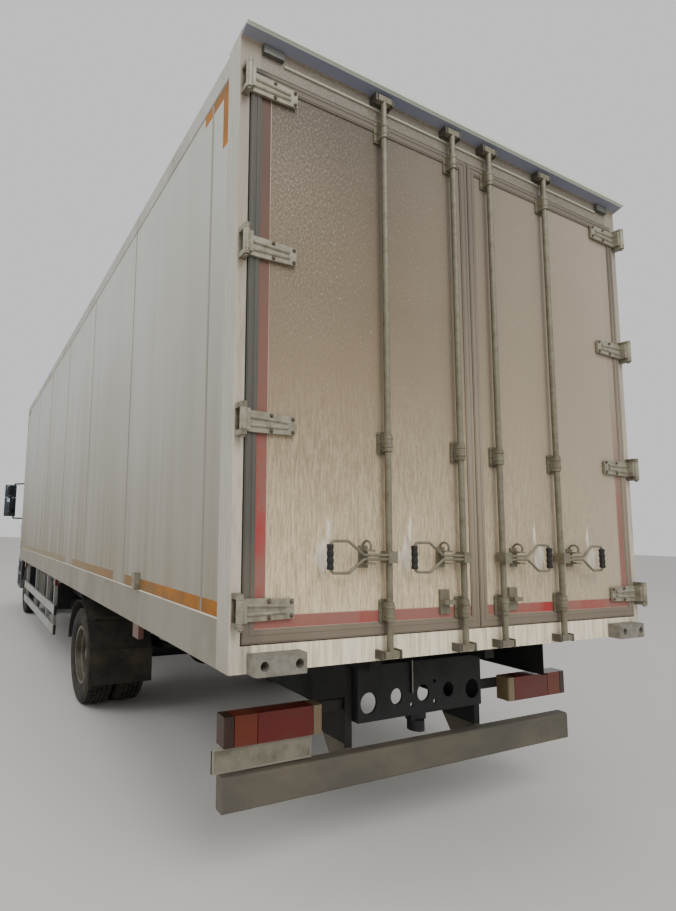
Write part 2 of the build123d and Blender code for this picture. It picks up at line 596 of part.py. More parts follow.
for side_name, side in [("left", 1), ("right", -1)]:
    door_x = sorted((side * DOOR_NEAR_X, side * DOOR_FAR_X))
    face_x = sorted((side * (DOOR_NEAR_X + SEAL_WIDTH), side * (DOOR_FAR_X - SEAL_WIDTH)))
    face_z = (DOOR_BOTTOM + SEAL_WIDTH, DOOR_TOP - SEAL_WIDTH)

    with BuildPart() as rear_door:
        block(door_x, (DOOR_FACE_Y - DOOR_THICK, DOOR_FACE_Y - SEAL_DEPTH), (DOOR_BOTTOM, DOOR_TOP))
        block(face_x, (DOOR_FACE_Y - SEAL_DEPTH, DOOR_FACE_Y), face_z)
    save(rear_door, "rear_door_" + side_name)

    with BuildPart() as door_seal:
        seal_y = (DOOR_FACE_Y - SEAL_DEPTH, REAR_Y + SEAL_PROUD)
        block(door_x, seal_y, (DOOR_BOTTOM, DOOR_TOP))
        block(face_x, seal_y, face_z, mode=Mode.SUBTRACT)
    save(door_seal, "door_seal_" + side_name)

    with BuildPart() as lock_gear:
        for hinge_z in HINGE_HEIGHTS:
            with BuildSketch(across(REAR_Y + 15)):
                with BuildLine():
                    Polyline(
                        (side * STRAP_X[0], hinge_z - STRAP_HALF[0]),
                        (side * STRAP_X[1], hinge_z - STRAP_HALF[1]),
                        (side * STRAP_X[2], hinge_z - STRAP_HALF[1]),
                        (side * STRAP_X[2], hinge_z + STRAP_HALF[1]),
                        (side * STRAP_X[1], hinge_z + STRAP_HALF[1]),
                        (side * STRAP_X[0], hinge_z + STRAP_HALF[0]),
                        close=True,
                    )
                make_face()
            extrude(amount=10)
            pad_x = sorted((side * (STRAP_X[0] + 5), side * STRAP_X[1]))
            block(pad_x, (DOOR_FACE_Y, REAR_Y + 6), (hinge_z - 26, hinge_z + 26))
            for up in (-1, 1):
                rib_from = (side * RIB_X[0], REAR_Y + 14, hinge_z + up * RIB_HALF[0])
                rib_run = Vector(side * (RIB_X[1] - RIB_X[0]), 0, up * (RIB_HALF[1] - RIB_HALF[0]))
                with BuildSketch(Plane(origin=rib_from, z_dir=rib_run)):
                    Circle(8)
                extrude(amount=rib_run.length)
            knuckle_z = (hinge_z - STRAP_HALF[1], hinge_z + STRAP_HALF[1])
            block(sorted((side * (STRAP_X[2] - 5), side * PIN_X)), (REAR_Y + 10, PIN_Y), knuckle_z)
            with Locations((side * PIN_X, PIN_Y, hinge_z)):
                Cylinder(KNUCKLE_RADIUS, 2 * STRAP_HALF[1])
            with Locations((side * PIN_X, PIN_Y, hinge_z)):
                Cylinder(PIN_RADIUS + 0.5, 2 * STRAP_HALF[1] + 2, mode=Mode.SUBTRACT)
        for rod_x in ROD_X:
            with Locations((side * rod_x, ROD_Y, (ROD_BOTTOM + ROD_TOP) / 2)):
                Cylinder(ROD_RADIUS, ROD_TOP - ROD_BOTTOM)
            for guide_z in GUIDE_ZS:
                plate_x = (side * rod_x - 34, side * rod_x + 34)
                block(plate_x, (DOOR_FACE_Y, REAR_Y + 4), (guide_z - 42, guide_z + 6))
                block(plate_x, (REAR_Y + SEAL_PROUD + 0.5, REAR_Y + 6), (guide_z - 48, guide_z + 48))
                block((side * rod_x - 19, side * rod_x + 19), (REAR_Y + 5, ROD_Y), (guide_z - 38, guide_z + 38))
                with Locations((side * rod_x, ROD_Y, guide_z)):
                    Cylinder(19, 76)
            for cam_z, reach in ((ROD_BOTTOM + 14, 14), (ROD_TOP - 14, 14)):
                with Locations((side * rod_x, ROD_Y, cam_z)):
                    Box(2 * CAM_HALF, 26, 2 * reach)
            clamp_x = sorted((side * (rod_x - 20), side * (rod_x + 28)))
            block(clamp_x, (REAR_Y + 12, REAR_Y + 58), (HANDLE_Z - 24, HANDLE_Z + 24))
            catch_x = sorted((side * (rod_x + 92), side * (rod_x + 138)))
            block(catch_x, (DOOR_FACE_Y, REAR_Y + 6), (HANDLE_Z - 45, HANDLE_Z + 45))
            for lug_z in (HANDLE_Z - 30, HANDLE_Z + 22):
                block(catch_x, (REAR_Y + 5, REAR_Y + 50), (lug_z, lug_z + 8))
            with BuildLine(along(side * (rod_x + 115))):
                eye_ends = ((REAR_Y + 4, HANDLE_Z + 38), (REAR_Y + 43, HANDLE_Z + 26))
                eye_path = ThreePointArc(eye_ends[0], (REAR_Y + 34, HANDLE_Z + 64), eye_ends[1])
            with BuildSketch(Plane(origin=eye_path @ 0, z_dir=eye_path % 0)):
                Circle(5)
            sweep(path=eye_path)
            with BuildLine(across(REAR_Y + 50)):
                wire_path = FilletPolyline(
                    (side * (rod_x + 20), HANDLE_Z + 8),
                    (side * (rod_x + 150), HANDLE_Z + 8),
                    (side * (rod_x + 230), HANDLE_Z + 62),
                    (side * (rod_x + GRIP_REACH), HANDLE_Z + 62),
                    (side * (rod_x + GRIP_REACH), HANDLE_Z - 62),
                    (side * (rod_x + 230), HANDLE_Z - 62),
                    (side * (rod_x + 150), HANDLE_Z - 8),
                    (side * (rod_x + 20), HANDLE_Z - 8),
                    radius=22,
                )
            with BuildSketch(Plane(origin=wire_path @ 0, z_dir=wire_path % 0)):
                Circle(6)
            sweep(path=wire_path)
            with Locations((side * (rod_x + GRIP_REACH), REAR_Y + 50, HANDLE_Z)):
                Cylinder(10, 84)
        stop_x = sorted((side * STOP_X[0], side * STOP_X[1]))
        block(stop_x, (DOOR_FACE_Y, REAR_Y + 8), (SILL_Z + 172, SILL_Z + 278))
        block(stop_x, (REAR_Y + 7, REAR_Y + 36), (SILL_Z + 216, SILL_Z + 234))
    save(lock_gear, "lock_gear_" + side_name)

# Body fittings: hinge brackets on the posts, rod keepers, door retainers and the grab hoop
with BuildPart() as body_fittings:
    for side in (-1, 1):
        for hinge_z in HINGE_HEIGHTS:
            plate_x = sorted((side * (OPENING_X + 4), side * (HALF - POST_CORNER)))
            block(plate_x, (REAR_Y, REAR_Y + 5), (hinge_z - EAR_HALF[1], hinge_z + EAR_HALF[1]))
            ear_x = sorted((side * (PIN_X - KNUCKLE_RADIUS), side * (HALF - POST_CORNER)))
            for up in (-1, 1):
                ear_z = sorted((hinge_z + up * EAR_HALF[0], hinge_z + up * EAR_HALF[1]))
                block(ear_x, (REAR_Y + 4, PIN_Y), ear_z)
                with Locations((side * PIN_X, PIN_Y, sum(ear_z) / 2)):
                    Cylinder(KNUCKLE_RADIUS, EAR_HALF[1] - EAR_HALF[0])
            with Locations((side * PIN_X, PIN_Y, hinge_z - 4)):
                Cylinder(PIN_RADIUS, 2 * EAR_HALF[1] + 8)
        for rod_x in ROD_X:
            for lug_side in (-1, 1):
                lug_ends = (CAM_HALF + KEEPER_GAP, CAM_HALF + KEEPER_GAP + 12)
                lug_x = sorted(side * (rod_x + lug_side * reach) for reach in lug_ends)
                for keeper_z in ((SILL_Z + 10, SILL_Z + 46), (BOX_TOP - 52, BOX_TOP - 17)):
                    block(lug_x, (REAR_Y, REAR_Y + 42), keeper_z)
        retainer_x = sorted((side * (HALF - 2 - PANEL_INSET + 2), side * (HALF + 30)))
        block(retainer_x, (REAR_Y - 1090, REAR_Y - 1050), (SILL_Z + SKIRT_HEIGHT + 2, SILL_Z + SKIRT_HEIGHT + 92))
    with BuildLine(Plane.XY.offset(0)):
        hoop_path = FilletPolyline(
            (-HALF, REAR_Y - 60, SILL_Z + 440),
            (-HALF - 38, REAR_Y - 60, SILL_Z + 440),
            (-HALF - 38, REAR_Y - 60, SILL_Z + 640),
            (-HALF, REAR_Y - 60, SILL_Z + 640),
            radius=24,
        )
    with BuildSketch(Plane(origin=hoop_path @ 0, z_dir=hoop_path % 0)):
        Circle(8)
    sweep(path=hoop_path)
save(body_fittings, "body_fittings")

# Dock buffers on the sill
BUFFER_X = (HALF - 301, HALF - 74)
BUFFER_DEPTH = 62
BUFFER_HEIGHT = 72

with BuildPart() as dock_buffers:
    for side in (-1, 1):
        buffer_x = sorted((side * BUFFER_X[0], side * BUFFER_X[1]))
        block(buffer_x, (REAR_Y, REAR_Y + BUFFER_DEPTH), (SILL_Z, SILL_Z + BUFFER_HEIGHT))
    rear_edges = dock_buffers.edges().filter_by(Axis.Z).group_by(Axis.Y)[-1]
    fillet(rear_edges, radius=14)
    with BuildSketch(across(REAR_Y + BUFFER_DEPTH)):
        for side in (-1, 1):
            for hole_x in (BUFFER_X[0] + 39, BUFFER_X[1] - 39):
                with Locations((side * hole_x, SILL_Z + BUFFER_HEIGHT / 2)):
                    Circle(18)
    extrude(amount=BUFFER_DEPTH - 12, mode=Mode.SUBTRACT)
save(dock_buffers, "dock_buffers")

# Marker lamps: two on the header and three under each skirt
MARKER_YS = [REAR_Y - 1120, REAR_Y - 3900, REAR_Y - 6600]

with BuildPart() as marker_lamps:
    for side in (-1, 1):
        header_x = sorted((side * (HALF - 200), side * (HALF - 100)))
        block(header_x, (REAR_Y, REAR_Y + 18), (BOX_TOP - 52, BOX_TOP - 17))
        for lamp_y in MARKER_YS:
            lamp_x = sorted((side * (HALF - 42), side * (HALF - 12)))
            block(lamp_x, (lamp_y - 50, lamp_y + 50), (SILL_Z - 80, SILL_Z))
save(marker_lamps, "marker_lamps")

# Underrun bar with its hangers, lamp arms and number plate carrier
BAR_HALF = HALF - 156
BAR_Z = (322, 466)
BAR_Y = (REAR_Y - 385, REAR_Y - 322)
HANGER_PLATE = 10
LAMP_Z = (580, 706)
TAIL_LAMP_X = (HALF - 660, HALF - 160)
# joints between the lenses, from the box side inwards
LENS_JOINTS = (206, 320, 610)
PLATE_X = (HALF - 615, HALF - 112)
PLATE_Z = (480, 572)

with BuildPart() as underrun_bar:
    block((-BAR_HALF, BAR_HALF), BAR_Y, BAR_Z)
    fillet(underrun_bar.edges().filter_by(Axis.X), radius=12)
    for side in (-1, 1):
        with BuildSketch(along(min(side * RAIL_OUTER_X, side * (RAIL_OUTER_X + HANGER_PLATE)))):
            with BuildLine():
                Polyline(
                    (BAR_Y[0] + 6, BAR_Z[0] + 10),
                    (BAR_Y[0] + 6, RAIL_TOP - 10),
                    (BAR_Y[0] - 290, RAIL_TOP - 10),
                    (BAR_Y[0] - 290, RAIL_BOTTOM + 20),
                    (BAR_Y[0] - 120, BAR_Z[0] + 10),
                    close=True,
                )
            make_face()
        extrude(amount=HANGER_PLATE)
        flange_x = sorted((side * RAIL_OUTER_X, side * (RAIL_OUTER_X + 40)))
        block(flange_x, (BAR_Y[0] - 2, BAR_Y[0] + 6), (BAR_Z[0] + 10, RAIL_TOP - 10))
        arm_x = sorted((side * (RAIL_OUTER_X + HANGER_PLATE - 1), side * (HALF - 200)))
        block(arm_x, (REAR_Y - 415, REAR_Y - 400), (640, 690))
    block((PLATE_X[0], PLATE_X[1]), (REAR_Y - 352, REAR_Y - 348), PLATE_Z)
    for strap_x in (PLATE_X[0] + 70, PLATE_X[1] - 115):
        block((strap_x, strap_x + 30), (REAR_Y - 415, REAR_Y - 352), (PLATE_Z[1] - 12, PLATE_Z[1] - 2))
        block((strap_x, strap_x + 30), (REAR_Y - 415, REAR_Y - 405), (PLATE_Z[1] - 12, 660))
save(underrun_bar, "underrun_bar")

with BuildPart() as tail_lamps:
    for side in (-1, 1):
        block(sorted((side * TAIL_LAMP_X[0], side * TAIL_LAMP_X[1])), (REAR_Y - 400, REAR_Y - 325), LAMP_Z)
    fillet(tail_lamps.edges().filter_by(Axis.Z).group_by(Axis.Y)[-1], radius=8)
    for side in (-1, 1):
        for from_side in LENS_JOINTS:
            joint_x = side * (HALF - from_side)
            block((joint_x - 2, joint_x + 2), (REAR_Y - 330, REAR_Y - 324), LAMP_Z, mode=Mode.SUBTRACT)
save(tail_lamps, "tail_lamps")

# Rear mudguards: arches over the twin wheels, with stays to the rails and flaps behind
GUARD_RADIUS = 456
GUARD_X = (690, 1210)

with BuildPart() as rear_mudguards:
    for side in (-1, 1):
        guard_x = sorted((side * GUARD_X[0], side * GUARD_X[1]))
        with BuildSketch(along(guard_x[0])):
            with BuildLine():
                outer_radius = GUARD_RADIUS + 5
                ends = [radians(8), radians(172)]
                outer_ends = [(REAR_AXLE_Y + outer_radius * cos(a), HUB_Z + outer_radius * sin(a)) for a in ends]
                inner_ends = [(REAR_AXLE_Y + GUARD_RADIUS * cos(a), HUB_Z + GUARD_RADIUS * sin(a)) for a in ends]
                ThreePointArc(outer_ends[0], (REAR_AXLE_Y, HUB_Z + outer_radius), outer_ends[1])
                Line(outer_ends[1], inner_ends[1])
                ThreePointArc(inner_ends[1], (REAR_AXLE_Y, HUB_Z + GUARD_RADIUS), inner_ends[0])
                Line(inner_ends[0], outer_ends[0])
            make_face()
        extrude(amount=guard_x[1] - guard_x[0])
        flap_y = (REAR_AXLE_Y + GUARD_RADIUS - 4, REAR_AXLE_Y + GUARD_RADIUS + 2)
        block(guard_x, flap_y, (250, 520))
        for stay_angle in (radians(48), radians(132)):
            stay_x = sorted((side * RAIL_OUTER_X, side * 1150))
            with BuildSketch(along(stay_x[0])):
                stay_y = REAR_AXLE_Y + 472 * cos(stay_angle)
                with Locations((stay_y, HUB_Z + 472 * sin(stay_angle))):
                    Circle(14)
            extrude(amount=stay_x[1] - stay_x[0])
save(rear_mudguards, "rear_mudguards")

# Front mudguards: flat-topped arches held off the rails
ARCH_HALF = 520
ARCH_TOP = 900
ARCH_CORNER = 300

with BuildPart() as front_mudguards:
    for side in (-1, 1):
        guard_x = sorted((side * 880, side * 1130))
        with BuildSketch(along(guard_x[0])):
            with BuildLine():
                arch_path = FilletPolyline(
                    (FRONT_AXLE_Y - ARCH_HALF, 520),
                    (FRONT_AXLE_Y - ARCH_HALF, ARCH_TOP),
                    (FRONT_AXLE_Y + ARCH_HALF, ARCH_TOP),
                    (FRONT_AXLE_Y + ARCH_HALF, 470),
                    radius=ARCH_CORNER,
                )
                offset(amount=5, side=Side.LEFT)
            make_face()
        extrude(amount=guard_x[1] - guard_x[0])
        stay_x = sorted((side * RAIL_OUTER_X, side * 900))
        for stay_y in (FRONT_AXLE_Y - ARCH_HALF - 20, FRONT_AXLE_Y + ARCH_HALF - 6):
            block(stay_x, (stay_y, stay_y + 26), (620, 650))
save(front_mudguards, "front_mudguards")

# Side guards: two rails each side on posts under the floor bearers
GUARD_RAIL_X = (HALF - 120, HALF - 95)
GUARD_RAIL_Z = [(315, 415), (525, 625)]
GUARD_REAR_Y = REAR_Y - 4330
GUARD_FRONT_Y = -2700
GUARD_POSTS = [0, 2, 4, 5]
GUARD_HEAD_Z = SILL_Z - 120

with BuildPart() as side_guards:
    for side in (-1, 1):
        rail_x = sorted((side * GUARD_RAIL_X[0], side * GUARD_RAIL_X[1]))
        for rail_z in GUARD_RAIL_Z:
            block(rail_x, (GUARD_FRONT_Y, GUARD_REAR_Y), rail_z)
        post_x = sorted((side * (GUARD_RAIL_X[0] - 40), side * GUARD_RAIL_X[0]))
        for bearer in GUARD_POSTS:
            post_y = (BEARER_YS[bearer] - 20, BEARER_YS[bearer] + 20)
            block(post_x, post_y, (GUARD_RAIL_Z[0][0], SILL_Z - 40))
            head_x = sorted((side * (GUARD_RAIL_X[0] - 100), side * GUARD_RAIL_X[0]))
            block(head_x, (BEARER_YS[bearer] + 25, BEARER_YS[bearer] + 33), (GUARD_HEAD_Z, SILL_Z))
            block(post_x, (BEARER_YS[bearer] + 20, BEARER_YS[bearer] + 25), (GUARD_HEAD_Z, SILL_Z - 40))
save(side_guards, "side_guards")

# Fuel tank on the right, battery and air box on the left, exhaust silencer behind the cab
TANK_X = (500, HALF - 240)
TANK_Y = (-1900, -800)
TANK_Z = (340, 860)

with BuildPart() as fuel_tank:
    block((-TANK_X[1], -TANK_X[0]), TANK_Y, TANK_Z)
    fillet(fuel_tank.edges().filter_by(Axis.Y), radius=110)
    for strap_y in (TANK_Y[0] + 220, TANK_Y[1] - 280):
        block((-TANK_X[0] - 10, -RAIL_OUTER_X), (strap_y, strap_y + 60), (600, 780))
    with Locations((-780, TANK_Y[0] + 140, TANK_Z[1] + 15)):
        Cylinder(45, 40)
save(fuel_tank, "fuel_tank")

with BuildPart() as battery_box:
    block((560, HALF - 240), (-1500, -800), (420, 800))
    fillet(battery_box.edges().filter_by(Axis.Y).group_by(Axis.Z)[-1], radius=30)
    for bracket_y in (-1400, -950):
        block((RAIL_OUTER_X, 565), (bracket_y, bracket_y + 50), (600, 760))
    for vessel_z in (480, 700):
        with BuildSketch(across(-100)):
            with Locations((720, vessel_z)):
                Circle(100)
        extrude(amount=700)
    for bracket_y in (-650, -300):
        block((RAIL_OUTER_X, 650), (bracket_y, bracket_y + 40), (595, 780))
        block((610, 650), (bracket_y, bracket_y + 40), (480, 600))
save(battery_box, "battery_box")

with BuildPart() as exhaust_silencer:
    block((520, HALF - 290), (-2480, -1800), (430, 820))
    fillet(exhaust_silencer.edges().filter_by(Axis.Y), radius=70)
    for bracket_y in (-2400, -1930):
        block((RAIL_OUTER_X, 530), (bracket_y, bracket_y + 50), (610, 740))
    with BuildSketch(along(900)):
        with Locations((-1900, 400)):
            Circle(45)
            Circle(40, mode=Mode.SUBTRACT)
    extrude(amount=HALF - 140 - 900)
    block((900, HALF - 290), (-1945, -1855), (415, 440))
save(exhaust_silencer, "exhaust_silencer")

# Cooling unit on the front wall, its evaporator passing into the box
UNIT_X = HALF - 350
UNIT_Z = (BOX_TOP - 840, BOX_TOP - 140)
UNIT_FRONT_Y = BOX_FRONT_Y - 430
LOUVRE_COUNT = 9

with BuildPart() as cooling_unit:
    with BuildSketch(along(-UNIT_X)):
        with BuildLine():
            Polyline(
                (BOX_FRONT_Y, UNIT_Z[0]),
                (BOX_FRONT_Y, UNIT_Z[1]),
                (UNIT_FRONT_Y + 110, UNIT_Z[1]),
                (UNIT_FRONT_Y, UNIT_Z[1] - 130),
                (UNIT_FRONT_Y, UNIT_Z[0] + 90),
                (UNIT_FRONT_Y + 60, UNIT_Z[0]),
                close=True,
            )
        make_face()
    extrude(amount=2 * UNIT_X)
    side_edges = cooling_unit.edges().filter_by(Axis.Z).group_by(Axis.Y)[0]
    fillet(side_edges, radius=90)
    block((-620, 620), (UNIT_FRONT_Y - 1, UNIT_FRONT_Y + 45), (UNIT_Z[0] + 120, UNIT_Z[1] - 190), mode=Mode.SUBTRACT)
    louvre_pitch = (UNIT_Z[1] - UNIT_Z[0] - 310) / LOUVRE_COUNT
    for step in range(LOUVRE_COUNT):
        louvre_z = UNIT_Z[0] + 120 + louvre_pitch * (step + 0.5)
        block((-620, 620), (UNIT_FRONT_Y + 6, UNIT_FRONT_Y + 46), (louvre_z - 6, louvre_z + 6))
    evaporator_y = (BOX_FRONT_Y - 1, BOX_FRONT_Y + WALL + 320)
    block((-UNIT_OPENING_X, UNIT_OPENING_X), evaporator_y, UNIT_OPENING_Z)
save(cooling_unit, "cooling_unit")

# Bumper across the rail ends, with pockets for the headlamps
LAMP_X = (740, 1050)
HEAD_Z = (540, 680)

with BuildPart() as front_bumper:
    block((-CAB_HALF, CAB_HALF), (BUMPER_FRONT_Y, -4500), (380, BUMPER_TOP))
    fillet(front_bumper.edges().filter_by(Axis.Z).group_by(Axis.Y)[0], radius=110)
    fillet(front_bumper.edges().filter_by(Axis.X).group_by(Axis.Y)[0], radius=25)
    block((-CAB_HALF + 60, CAB_HALF - 60), (BUMPER_FRONT_Y + 45, -4500), (340, BUMPER_TOP + 1), mode=Mode.SUBTRACT)
    for side in (-1, 1):
        pocket_x = sorted((side * LAMP_X[0], side * LAMP_X[1]))
        block(pocket_x, (BUMPER_FRONT_Y - 1, BUMPER_FRONT_Y + 46), HEAD_Z, mode=Mode.SUBTRACT)
        block(sorted((side * 355, side * RAIL_OUTER_X)), (BUMPER_FRONT_Y + 40, TILT_Y - 40), (600, 700))
    block((-300, 300), (BUMPER_FRONT_Y - 1, BUMPER_FRONT_Y + 46), (430, 500), mode=Mode.SUBTRACT)
    for slat_z in (450, 480):
        block((-300, 300), (BUMPER_FRONT_Y + 10, BUMPER_FRONT_Y + 40), (slat_z - 5, slat_z + 5))
save(front_bumper, "front_bumper")

with BuildPart() as headlamps:
    for side in (-1, 1):
        lamp_x = sorted((side * LAMP_X[0], side * LAMP_X[1]))
        block(lamp_x, (BUMPER_FRONT_Y + 4, BUMPER_FRONT_Y + 90), HEAD_Z)
save(headlamps, "headlamps")

# Step wells ahead of the front wheels, on arms from the rails
STEP_Y = (-4475, -3985)

with BuildPart() as cab_steps:
    for side in (-1, 1):
        well_x = sorted((side * 890, side * CAB_HALF))
        block(well_x, STEP_Y, (360, 895))
        for tread_z in (410, 650):
            recess_x = sorted((side * 930, side * (CAB_HALF + 1)))
            block(recess_x, (STEP_Y[0] + 50, STEP_Y[1] - 50), (tread_z, tread_z + 185), mode=Mode.SUBTRACT)
        block(sorted((side * RAIL_OUTER_X, side * 895)), (-4035, -3995), (620, 680))
save(cab_steps, "cab_steps")

# Cab: the meeting of a side and a front outline, hollowed by the same shape set in
BELT_Z = 1500
CAB_TOP_X = 1098
CAB_ROUND = 100
DOOR_HINGE_X = CAB_HALF + 12
DOOR_HINGE_Y = -4437
SCREEN_BASE = (CAB_FRONT_Y + 25, BELT_Z)
SCREEN_TOP = (CAB_FRONT_Y + 330, CAB_ROOF - 10)
CAB_DOOR_OUTLINE = [(-4434, 998), (-4434, 1560), (-4183, 2310), (-3330, 2310), (-3330, 998)]
DOOR_WINDOW = [(-4360, 1580), (-4150, 2230), (-3410, 2230), (-3410, 1580)]
WINDSCREEN = [(-970, 1570), (-905, 2270), (905, 2270), (970, 1570)]
CAB_HINGE_HEIGHTS = (1120, 1480)
CAB_HINGE_RADIUS = 8
CAB_PIN_RADIUS = 4
GLASS_FROM = 16
GLASS_THICK = 7


def cab_form(inset):
    """Cab envelope with every face moved in by inset."""
    with BuildPart() as form:
        with BuildSketch(along(-CAB_HALF)) as side_view:
            with BuildLine():
                Polyline(
                    (CAB_REAR_Y, CAB_BOTTOM),
                    (CAB_REAR_Y, CAB_ROOF - 30),
                    (CAB_REAR_Y - 700, CAB_ROOF),
                    SCREEN_TOP,
                    SCREEN_BASE,
                    (CAB_FRONT_Y, BELT_Z - 160),
                    (CAB_FRONT_Y, CAB_APRON_BOTTOM),
                    (TILT_Y, CAB_APRON_BOTTOM),
                    (TILT_Y + 20, CAB_BOTTOM),
                    close=True,
                )
            make_face()
            if inset:
                offset(amount=-inset, kind=Kind.INTERSECTION)
        extrude(amount=2 * CAB_HALF)
        with BuildSketch(across(CAB_REAR_Y)):
            with BuildLine():
                Polyline(
                    (-CAB_HALF, CAB_APRON_BOTTOM - 10),
                    (-CAB_HALF, BELT_Z),
                    (-CAB_TOP_X, CAB_ROOF + 10),
                    (CAB_TOP_X, CAB_ROOF + 10),
                    (CAB_HALF, BELT_Z),
                    (CAB_HALF, CAB_APRON_BOTTOM - 10),
                    close=True,
                )
            make_face()
            if inset:
                offset(amount=-inset, kind=Kind.INTERSECTION)
        extrude(amount=CAB_REAR_Y - CAB_FRONT_Y, mode=Mode.INTERSECT)
        rounded = [
            edge
            for edge in form.edges()
            if abs(edge.center().X) > 900 - inset
            and edge.center().Z > CAB_BOTTOM
            and (edge.center().Y < -4340 or edge.center().Z > CAB_ROOF - 120)
            and abs((edge @ 1).X - (edge @ 0).X) < 200
        ]
        roof_front = [edge for edge in form.edges() if edge.length > 1500 and edge.center().Y < -4200]
        roof_front = [edge for edge in roof_front if edge.center().Z > CAB_ROOF - 120]
        fillet(rounded + roof_front, radius=CAB_ROUND - inset)
    return form.part


def outline_prism(plane, points, round_radius, depth, grow=0):
    """Prism of a rounded polygon, grown by grow all round."""
    with BuildPart() as prism:
        with BuildSketch(plane) as face_view:
            with BuildLine():
                Polyline(*points, close=True)
            make_face()
            fillet(face_view.vertices(), radius=round_radius)
            if grow:
                offset(amount=grow)
        extrude(amount=depth)
    return prism.part


def pane_points(base, top, inward):
    """Corners of a flat pane's section, set in from the line between base and top."""
    run = (top[0] - base[0], top[1] - base[1])
    length = sqrt(run[0] ** 2 + run[1] ** 2)
    normal = (inward * run[1] / length, -inward * run[0] / length)
    near = GLASS_FROM
    far = GLASS_FROM + GLASS_THICK
    return [
        (base[0] + normal[0] * near, base[1] + normal[1] * near),
        (top[0] + normal[0] * near, top[1] + normal[1] * near),
        (top[0] + normal[0] * far, top[1] + normal[1] * far),
        (base[0] + normal[0] * far, base[1] + normal[1] * far),
    ]


outer_form = cab_form(0)
inner_form = cab_form(CAB_WALL)

TUNNEL_X = 340
TUNNEL_TOP = 1150
ARM_X = (435, 475)
GRILLE_X = 640
GRILLE_Z = (900, 1330)
GRILLE_DEPTH = 40
windscreen_hole = outline_prism(across(-4200), WINDSCREEN, 60, 600)

with BuildPart() as cavity:
    add(inner_form)
    block((-TUNNEL_X - 60, TUNNEL_X + 60), (CAB_FRONT_Y, CAB_REAR_Y), (0, TUNNEL_TOP + 60), mode=Mode.SUBTRACT)

with BuildPart() as cab_shell:
    add(outer_form)
    add(cavity.part, mode=Mode.SUBTRACT)
    block((-TUNNEL_X, TUNNEL_X), (TILT_Y, CAB_REAR_Y + 1), (0, TUNNEL_TOP), mode=Mode.SUBTRACT)
    add(windscreen_hole, mode=Mode.SUBTRACT)
    for door_plane in (along(900), along(-1200)):
        add(outline_prism(door_plane, CAB_DOOR_OUTLINE, 50, 300, DOOR_GAP), mode=Mode.SUBTRACT)
    grille_y = (CAB_FRONT_Y - 1, CAB_FRONT_Y + GRILLE_DEPTH)
    block((-GRILLE_X, GRILLE_X), grille_y, GRILLE_Z, mode=Mode.SUBTRACT)
    for side in (-1, 1):
        arm_x = sorted((side * ARM_X[0], side * ARM_X[1]))
        block(arm_x, (TILT_Y, -4155), (TILT_Z - 38, TILT_Z + 38))
        block(arm_x, (-4225, -4155), (TILT_Z - 38, CAB_BOTTOM + 10))
        with BuildSketch(along(arm_x[0])):
            with Locations((TILT_Y, TILT_Z)):
                Circle(38)
        extrude(amount=ARM_X[1] - ARM_X[0])
        with BuildSketch(along(arm_x[0])):
            with Locations((TILT_Y, TILT_Z)):
                Circle(20.5)
        extrude(amount=ARM_X[1] - ARM_X[0], mode=Mode.SUBTRACT)
        leaf_x = sorted((side * (CAB_HALF - 4), side * DOOR_HINGE_X))
        for hinge_z in CAB_HINGE_HEIGHTS:
            for lug_z in (hinge_z - 34, hinge_z + 34):
                block(leaf_x, (DOOR_HINGE_Y - 34, DOOR_HINGE_Y - 3), (lug_z - 10, lug_z + 10))
                with Locations((side * DOOR_HINGE_X, DOOR_HINGE_Y, lug_z)):
                    Cylinder(CAB_HINGE_RADIUS, 20)
            with Locations((side * DOOR_HINGE_X, DOOR_HINGE_Y, hinge_z)):
                Cylinder(CAB_PIN_RADIUS, 88)
save(cab_shell, "cab_shell")

with BuildPart() as windscreen:
    with BuildSketch(along(-CAB_HALF)):
        with BuildLine():
            Polyline(*pane_points(SCREEN_BASE, SCREEN_TOP, 1), close=True)
        make_face()
    extrude(amount=2 * CAB_HALF)
    add(windscreen_hole, mode=Mode.INTERSECT)
save(windscreen, "windscreen")

for side_name, side, door_plane in [("left", 1, along(900)), ("right", -1, along(-1200))]:
    window_hole = outline_prism(door_plane, DOOR_WINDOW, 50, 300)
    with BuildPart() as cab_door:
        add(outer_form - inner_form)
        add(outline_prism(door_plane, CAB_DOOR_OUTLINE, 44, 300), mode=Mode.INTERSECT)
        add(window_hole, mode=Mode.SUBTRACT)
        leaf_x = sorted((side * (CAB_HALF - 4), side * DOOR_HINGE_X))
        for hinge_z in CAB_HINGE_HEIGHTS:
            block(leaf_x, (DOOR_HINGE_Y + 4, DOOR_HINGE_Y + 60), (hinge_z - 22, hinge_z + 22))
            with Locations((side * DOOR_HINGE_X, DOOR_HINGE_Y, hinge_z)):
                Cylinder(CAB_HINGE_RADIUS, 44)
            with Locations((side * DOOR_HINGE_X, DOOR_HINGE_Y, hinge_z)):
                Cylinder(CAB_PIN_RADIUS + 0.5, 46, mode=Mode.SUBTRACT)
    save(cab_door, "cab_door_" + side_name)

    pane_base = (side * CAB_HALF, BELT_Z)
    pane_top = (side * CAB_TOP_X, CAB_ROOF + 10)
    with BuildPart() as door_glass:
        with BuildSketch(across(CAB_REAR_Y)):
            with BuildLine():
                Polyline(*pane_points(pane_base, pane_top, -side), close=True)
            make_face()
        extrude(amount=CAB_REAR_Y - CAB_FRONT_Y)
        add(window_hole, mode=Mode.INTERSECT)
    save(door_glass, "door_glass_" + side_name)

# Grille panel: a frame with slats in the pocket of the front panel
SLAT_COUNT = 6

